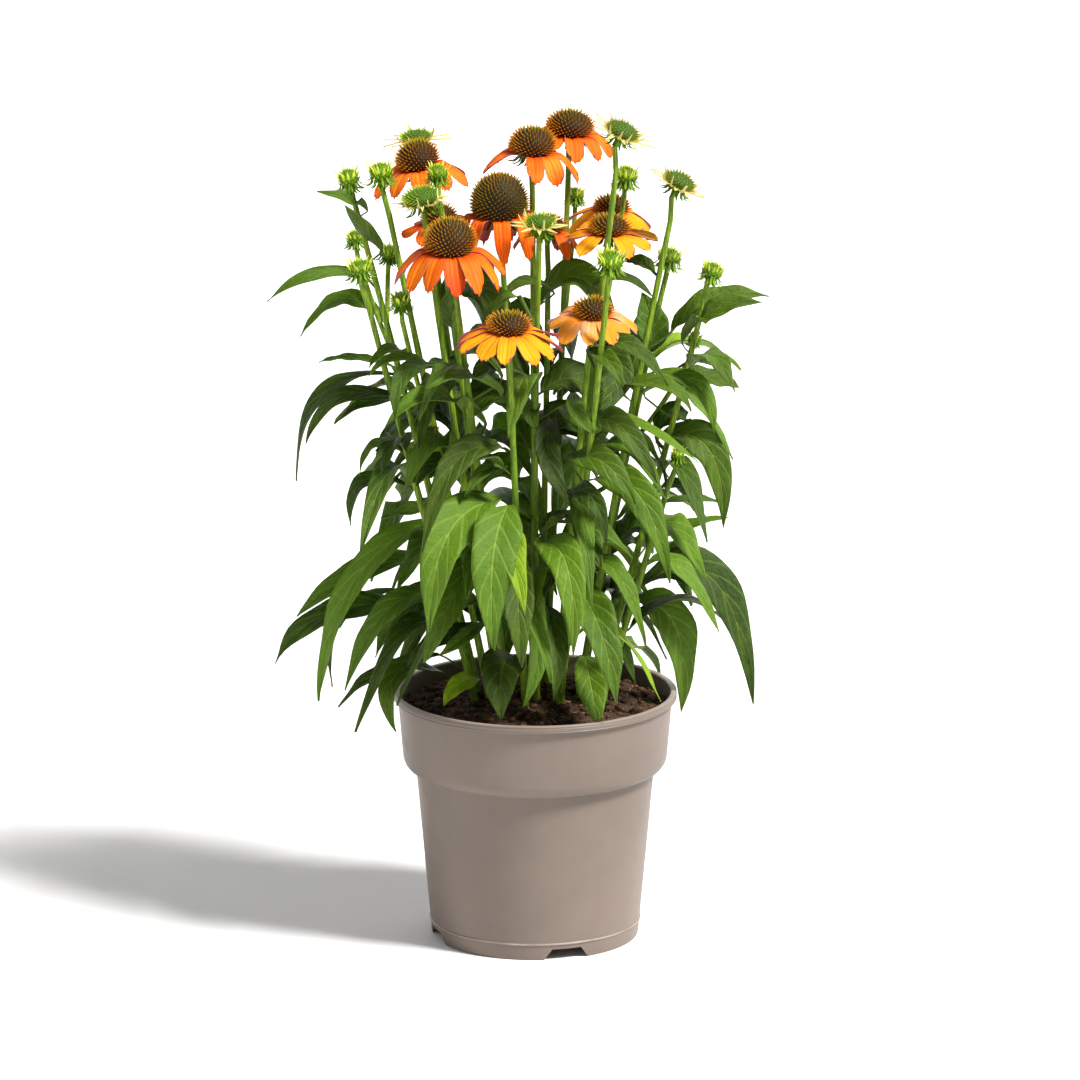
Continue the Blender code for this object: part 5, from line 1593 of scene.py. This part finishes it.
def cone_finishes():
    """Core and bristle finishes of the cones and discs, by kind."""
    ripe = [core_finish("Cone core", rgb(0.016, 0.009, 0.002)),
            bristle_finish("Ripe bristle", rgb(0.022, 0.012, 0.002), rgb(0.36, 0.11, 0.004),
                           rgb(0.90, 0.34, 0.008), rgb(0.26, 0.27, 0.006))]
    dark = [core_finish("Dark cone core", rgb(0.016, 0.012, 0.003)),
            bristle_finish("Dark bristle", rgb(0.014, 0.018, 0.003), rgb(0.11, 0.11, 0.006),
                           rgb(0.62, 0.26, 0.012), rgb(0.42, 0.22, 0.010))]
    green = [core_finish("Disc core", rgb(0.035, 0.075, 0.008)),
             bristle_finish("Green bristle", rgb(0.04, 0.09, 0.004), rgb(0.22, 0.40, 0.008),
                            rgb(0.62, 0.66, 0.04), rgb(0.22, 0.42, 0.008))]
    turning = [green[0], bristle_finish("Turning bristle", rgb(0.05, 0.10, 0.010),
                                        rgb(0.20, 0.26, 0.020), rgb(0.62, 0.33, 0.04),
                                        rgb(0.18, 0.28, 0.025))]
    return {"ripe": ripe, "dark": dark, "green": green, "turning": turning}


def cone_kind(head):
    if head.kind == "bloom":
        return "dark" if head.name in DARK_CONES else "ripe"
    return "turning" if head.name in TURNING_DISCS else "green"


# studio

CAMERA_TARGET = (3.3, 0.0, 271.5)
CAMERA_FAR = 5.0
CAMERA_DOWN = 14.0
CAMERA_LENS = 250.0


def aim(obj, target):
    obj.rotation_euler = (Vector(target) - obj.location).to_track_quat("-Z", "Y").to_euler()


def add_sun(name, place, softness, strength, colour):
    """A distant lamp that shines from a place to the origin; softness is in degrees."""
    data = bpy.data.lights.new(name, "SUN")
    data.angle = math.radians(softness)
    data.energy = strength
    data.color = colour
    lamp = bpy.data.objects.new(name, data)
    lamp.location = place
    bpy.context.scene.collection.objects.link(lamp)
    aim(lamp, (0.0, 0.0, 0.0))


def build_floor():
    """A pale floor that curves up into a backdrop."""
    bm = bmesh.new()
    deep = 2.6
    turn = 0.9
    profile = [(-6.0, 0.0), (deep, 0.0)]
    for k in range(1, 13):
        a = math.radians(90.0 * k / 12.0)
        profile.append((deep + turn * math.sin(a), turn - turn * math.cos(a)))
    profile.append((deep + turn, 5.0))
    verts = [bm.verts.new((-6.0, y, z)) for y, z in profile]
    edges = [bm.edges.new(pair) for pair in zip(verts, verts[1:])]
    grown = bmesh.ops.extrude_edge_only(bm, edges=edges)["geom"]
    across = [g for g in grown if isinstance(g, bmesh.types.BMVert)]
    bmesh.ops.translate(bm, vec=(12.0, 0.0, 0.0), verts=across)
    bmesh.ops.recalc_face_normals(bm, faces=bm.faces)
    mesh = bpy.data.meshes.new("studio_floor")
    bm.to_mesh(mesh)
    bm.free()
    mesh.polygons.foreach_set("use_smooth", [True] * len(mesh.polygons))
    mat, _, shader = new_finish("Studio paper", 0.9, 0.1)
    shader.inputs["Base Color"].default_value = grey(0.86)
    mesh.materials.append(mat)
    floor = bpy.data.objects.new("studio_floor", mesh)
    bpy.context.scene.collection.objects.link(floor)


def build_studio():
    """White surroundings, a key lamp from the right, a faint fill lamp and the floor."""
    scene = bpy.context.scene
    scene.view_settings.view_transform = "Standard"
    world = bpy.data.worlds.new("Studio")
    scene.world = world
    world.use_nodes = True
    world.node_tree.nodes["Background"].inputs["Color"].default_value = rgb(1.0, 1.0, 1.0)
    world.node_tree.nodes["Background"].inputs["Strength"].default_value = 0.24
    add_sun("Key", (1.45, -0.85, 2.15), 13.0, 6.4, (1.0, 0.985, 0.96))
    add_sun("Fill", (-1.3, -1.5, 1.1), 60.0, 0.35, (0.95, 0.97, 1.0))
    build_floor()


def build_camera():
    """The photo's camera: far off with a long lens, looking down a little."""
    data = bpy.data.cameras.new("Camera")
    data.lens = CAMERA_LENS
    data.sensor_width = 36.0
    camera = bpy.data.objects.new("Camera", data)
    bpy.context.scene.collection.objects.link(camera)
    target = mm(CAMERA_TARGET)
    down = math.radians(CAMERA_DOWN)
    camera.location = target + Vector((0.0, -math.cos(down), math.sin(down))) * CAMERA_FAR
    aim(camera, target)
    bpy.context.scene.camera = camera


# operators

class CONEFLOWER_OT_pot(bpy.types.Operator):
    """Build the nursery pot"""

    bl_idname = "coneflower.pot"
    bl_label = "Pot"

    def execute(self, context):
        build_pot([pot_finish()])
        return {"FINISHED"}


class CONEFLOWER_OT_peat(bpy.types.Operator):
    """Build the peat that fills the pot"""

    bl_idname = "coneflower.peat"
    bl_label = "Peat"

    def execute(self, context):
        build_peat([peat_finish(), straw_finish()])
        return {"FINISHED"}


class CONEFLOWER_OT_foliage(bpy.types.Operator):
    """Build the leafy stems with their buds"""

    bl_idname = "coneflower.foliage"
    bl_label = "Leafy stems"

    def execute(self, context):
        stems = make_stems()
        leaves = all_leaves(stems)
        mats = foliage_finishes()
        for stem in stems:
            build_foliage(stem, leaves, mats)
        return {"FINISHED"}


class CONEFLOWER_OT_blooms(bpy.types.Operator):
    """Build the rays and the seed cones"""

    bl_idname = "coneflower.blooms"
    bl_label = "Blooms"

    def execute(self, context):
        index = solid_points("rays_")
        petals = petal_finishes()
        cones = cone_finishes()
        for head in HEADS:
            seat = head_frame(head.point, head_axis(head.right, head.front))
            build_rays(head, seat, index, petals[ray_slot(head)])
            build_cone(head, seat, cones[cone_kind(head)])
        return {"FINISHED"}


class CONEFLOWER_OT_stage(bpy.types.Operator):
    """Build the floor, the lights and the camera"""

    bl_idname = "coneflower.stage"
    bl_label = "Studio"

    def execute(self, context):
        build_studio()
        build_camera()
        return {"FINISHED"}


class CONEFLOWER_PT_panel(bpy.types.Panel):
    """Sizes, colours and building steps of the coneflower"""

    bl_label = "Coneflower"
    bl_idname = "CONEFLOWER_PT_panel"
    bl_space_type = "VIEW_3D"
    bl_region_type = "UI"
    bl_category = "Coneflower"

    def draw(self, context):
        layout = self.layout
        for group in (context.scene.coneflower_sizes, context.scene.coneflower_colours):
            box = layout.box()
            for key in group.bl_rna.properties.keys():
                if key not in ("rna_type", "name"):
                    box.prop(group, key)
        for step in STEPS:
            layout.operator(step.bl_idname)


STEPS = (CONEFLOWER_OT_pot, CONEFLOWER_OT_peat, CONEFLOWER_OT_foliage, CONEFLOWER_OT_blooms,
         CONEFLOWER_OT_stage)
CLASSES = (PlantSizes, PlantColours) + STEPS + (CONEFLOWER_PT_panel,)


def register():
    for cls in CLASSES:
        bpy.utils.register_class(cls)
    bpy.types.Scene.coneflower_sizes = PointerProperty(type=PlantSizes)
    bpy.types.Scene.coneflower_colours = PointerProperty(type=PlantColours)


def unregister():
    del bpy.types.Scene.coneflower_colours
    del bpy.types.Scene.coneflower_sizes
    for cls in reversed(CLASSES):
        bpy.utils.unregister_class(cls)


def main():
    register()
    bpy.ops.coneflower.pot()
    bpy.ops.coneflower.peat()
    bpy.ops.coneflower.foliage()
    bpy.ops.coneflower.blooms()
    bpy.ops.coneflower.stage()


if __name__ == "__main__":
    main()
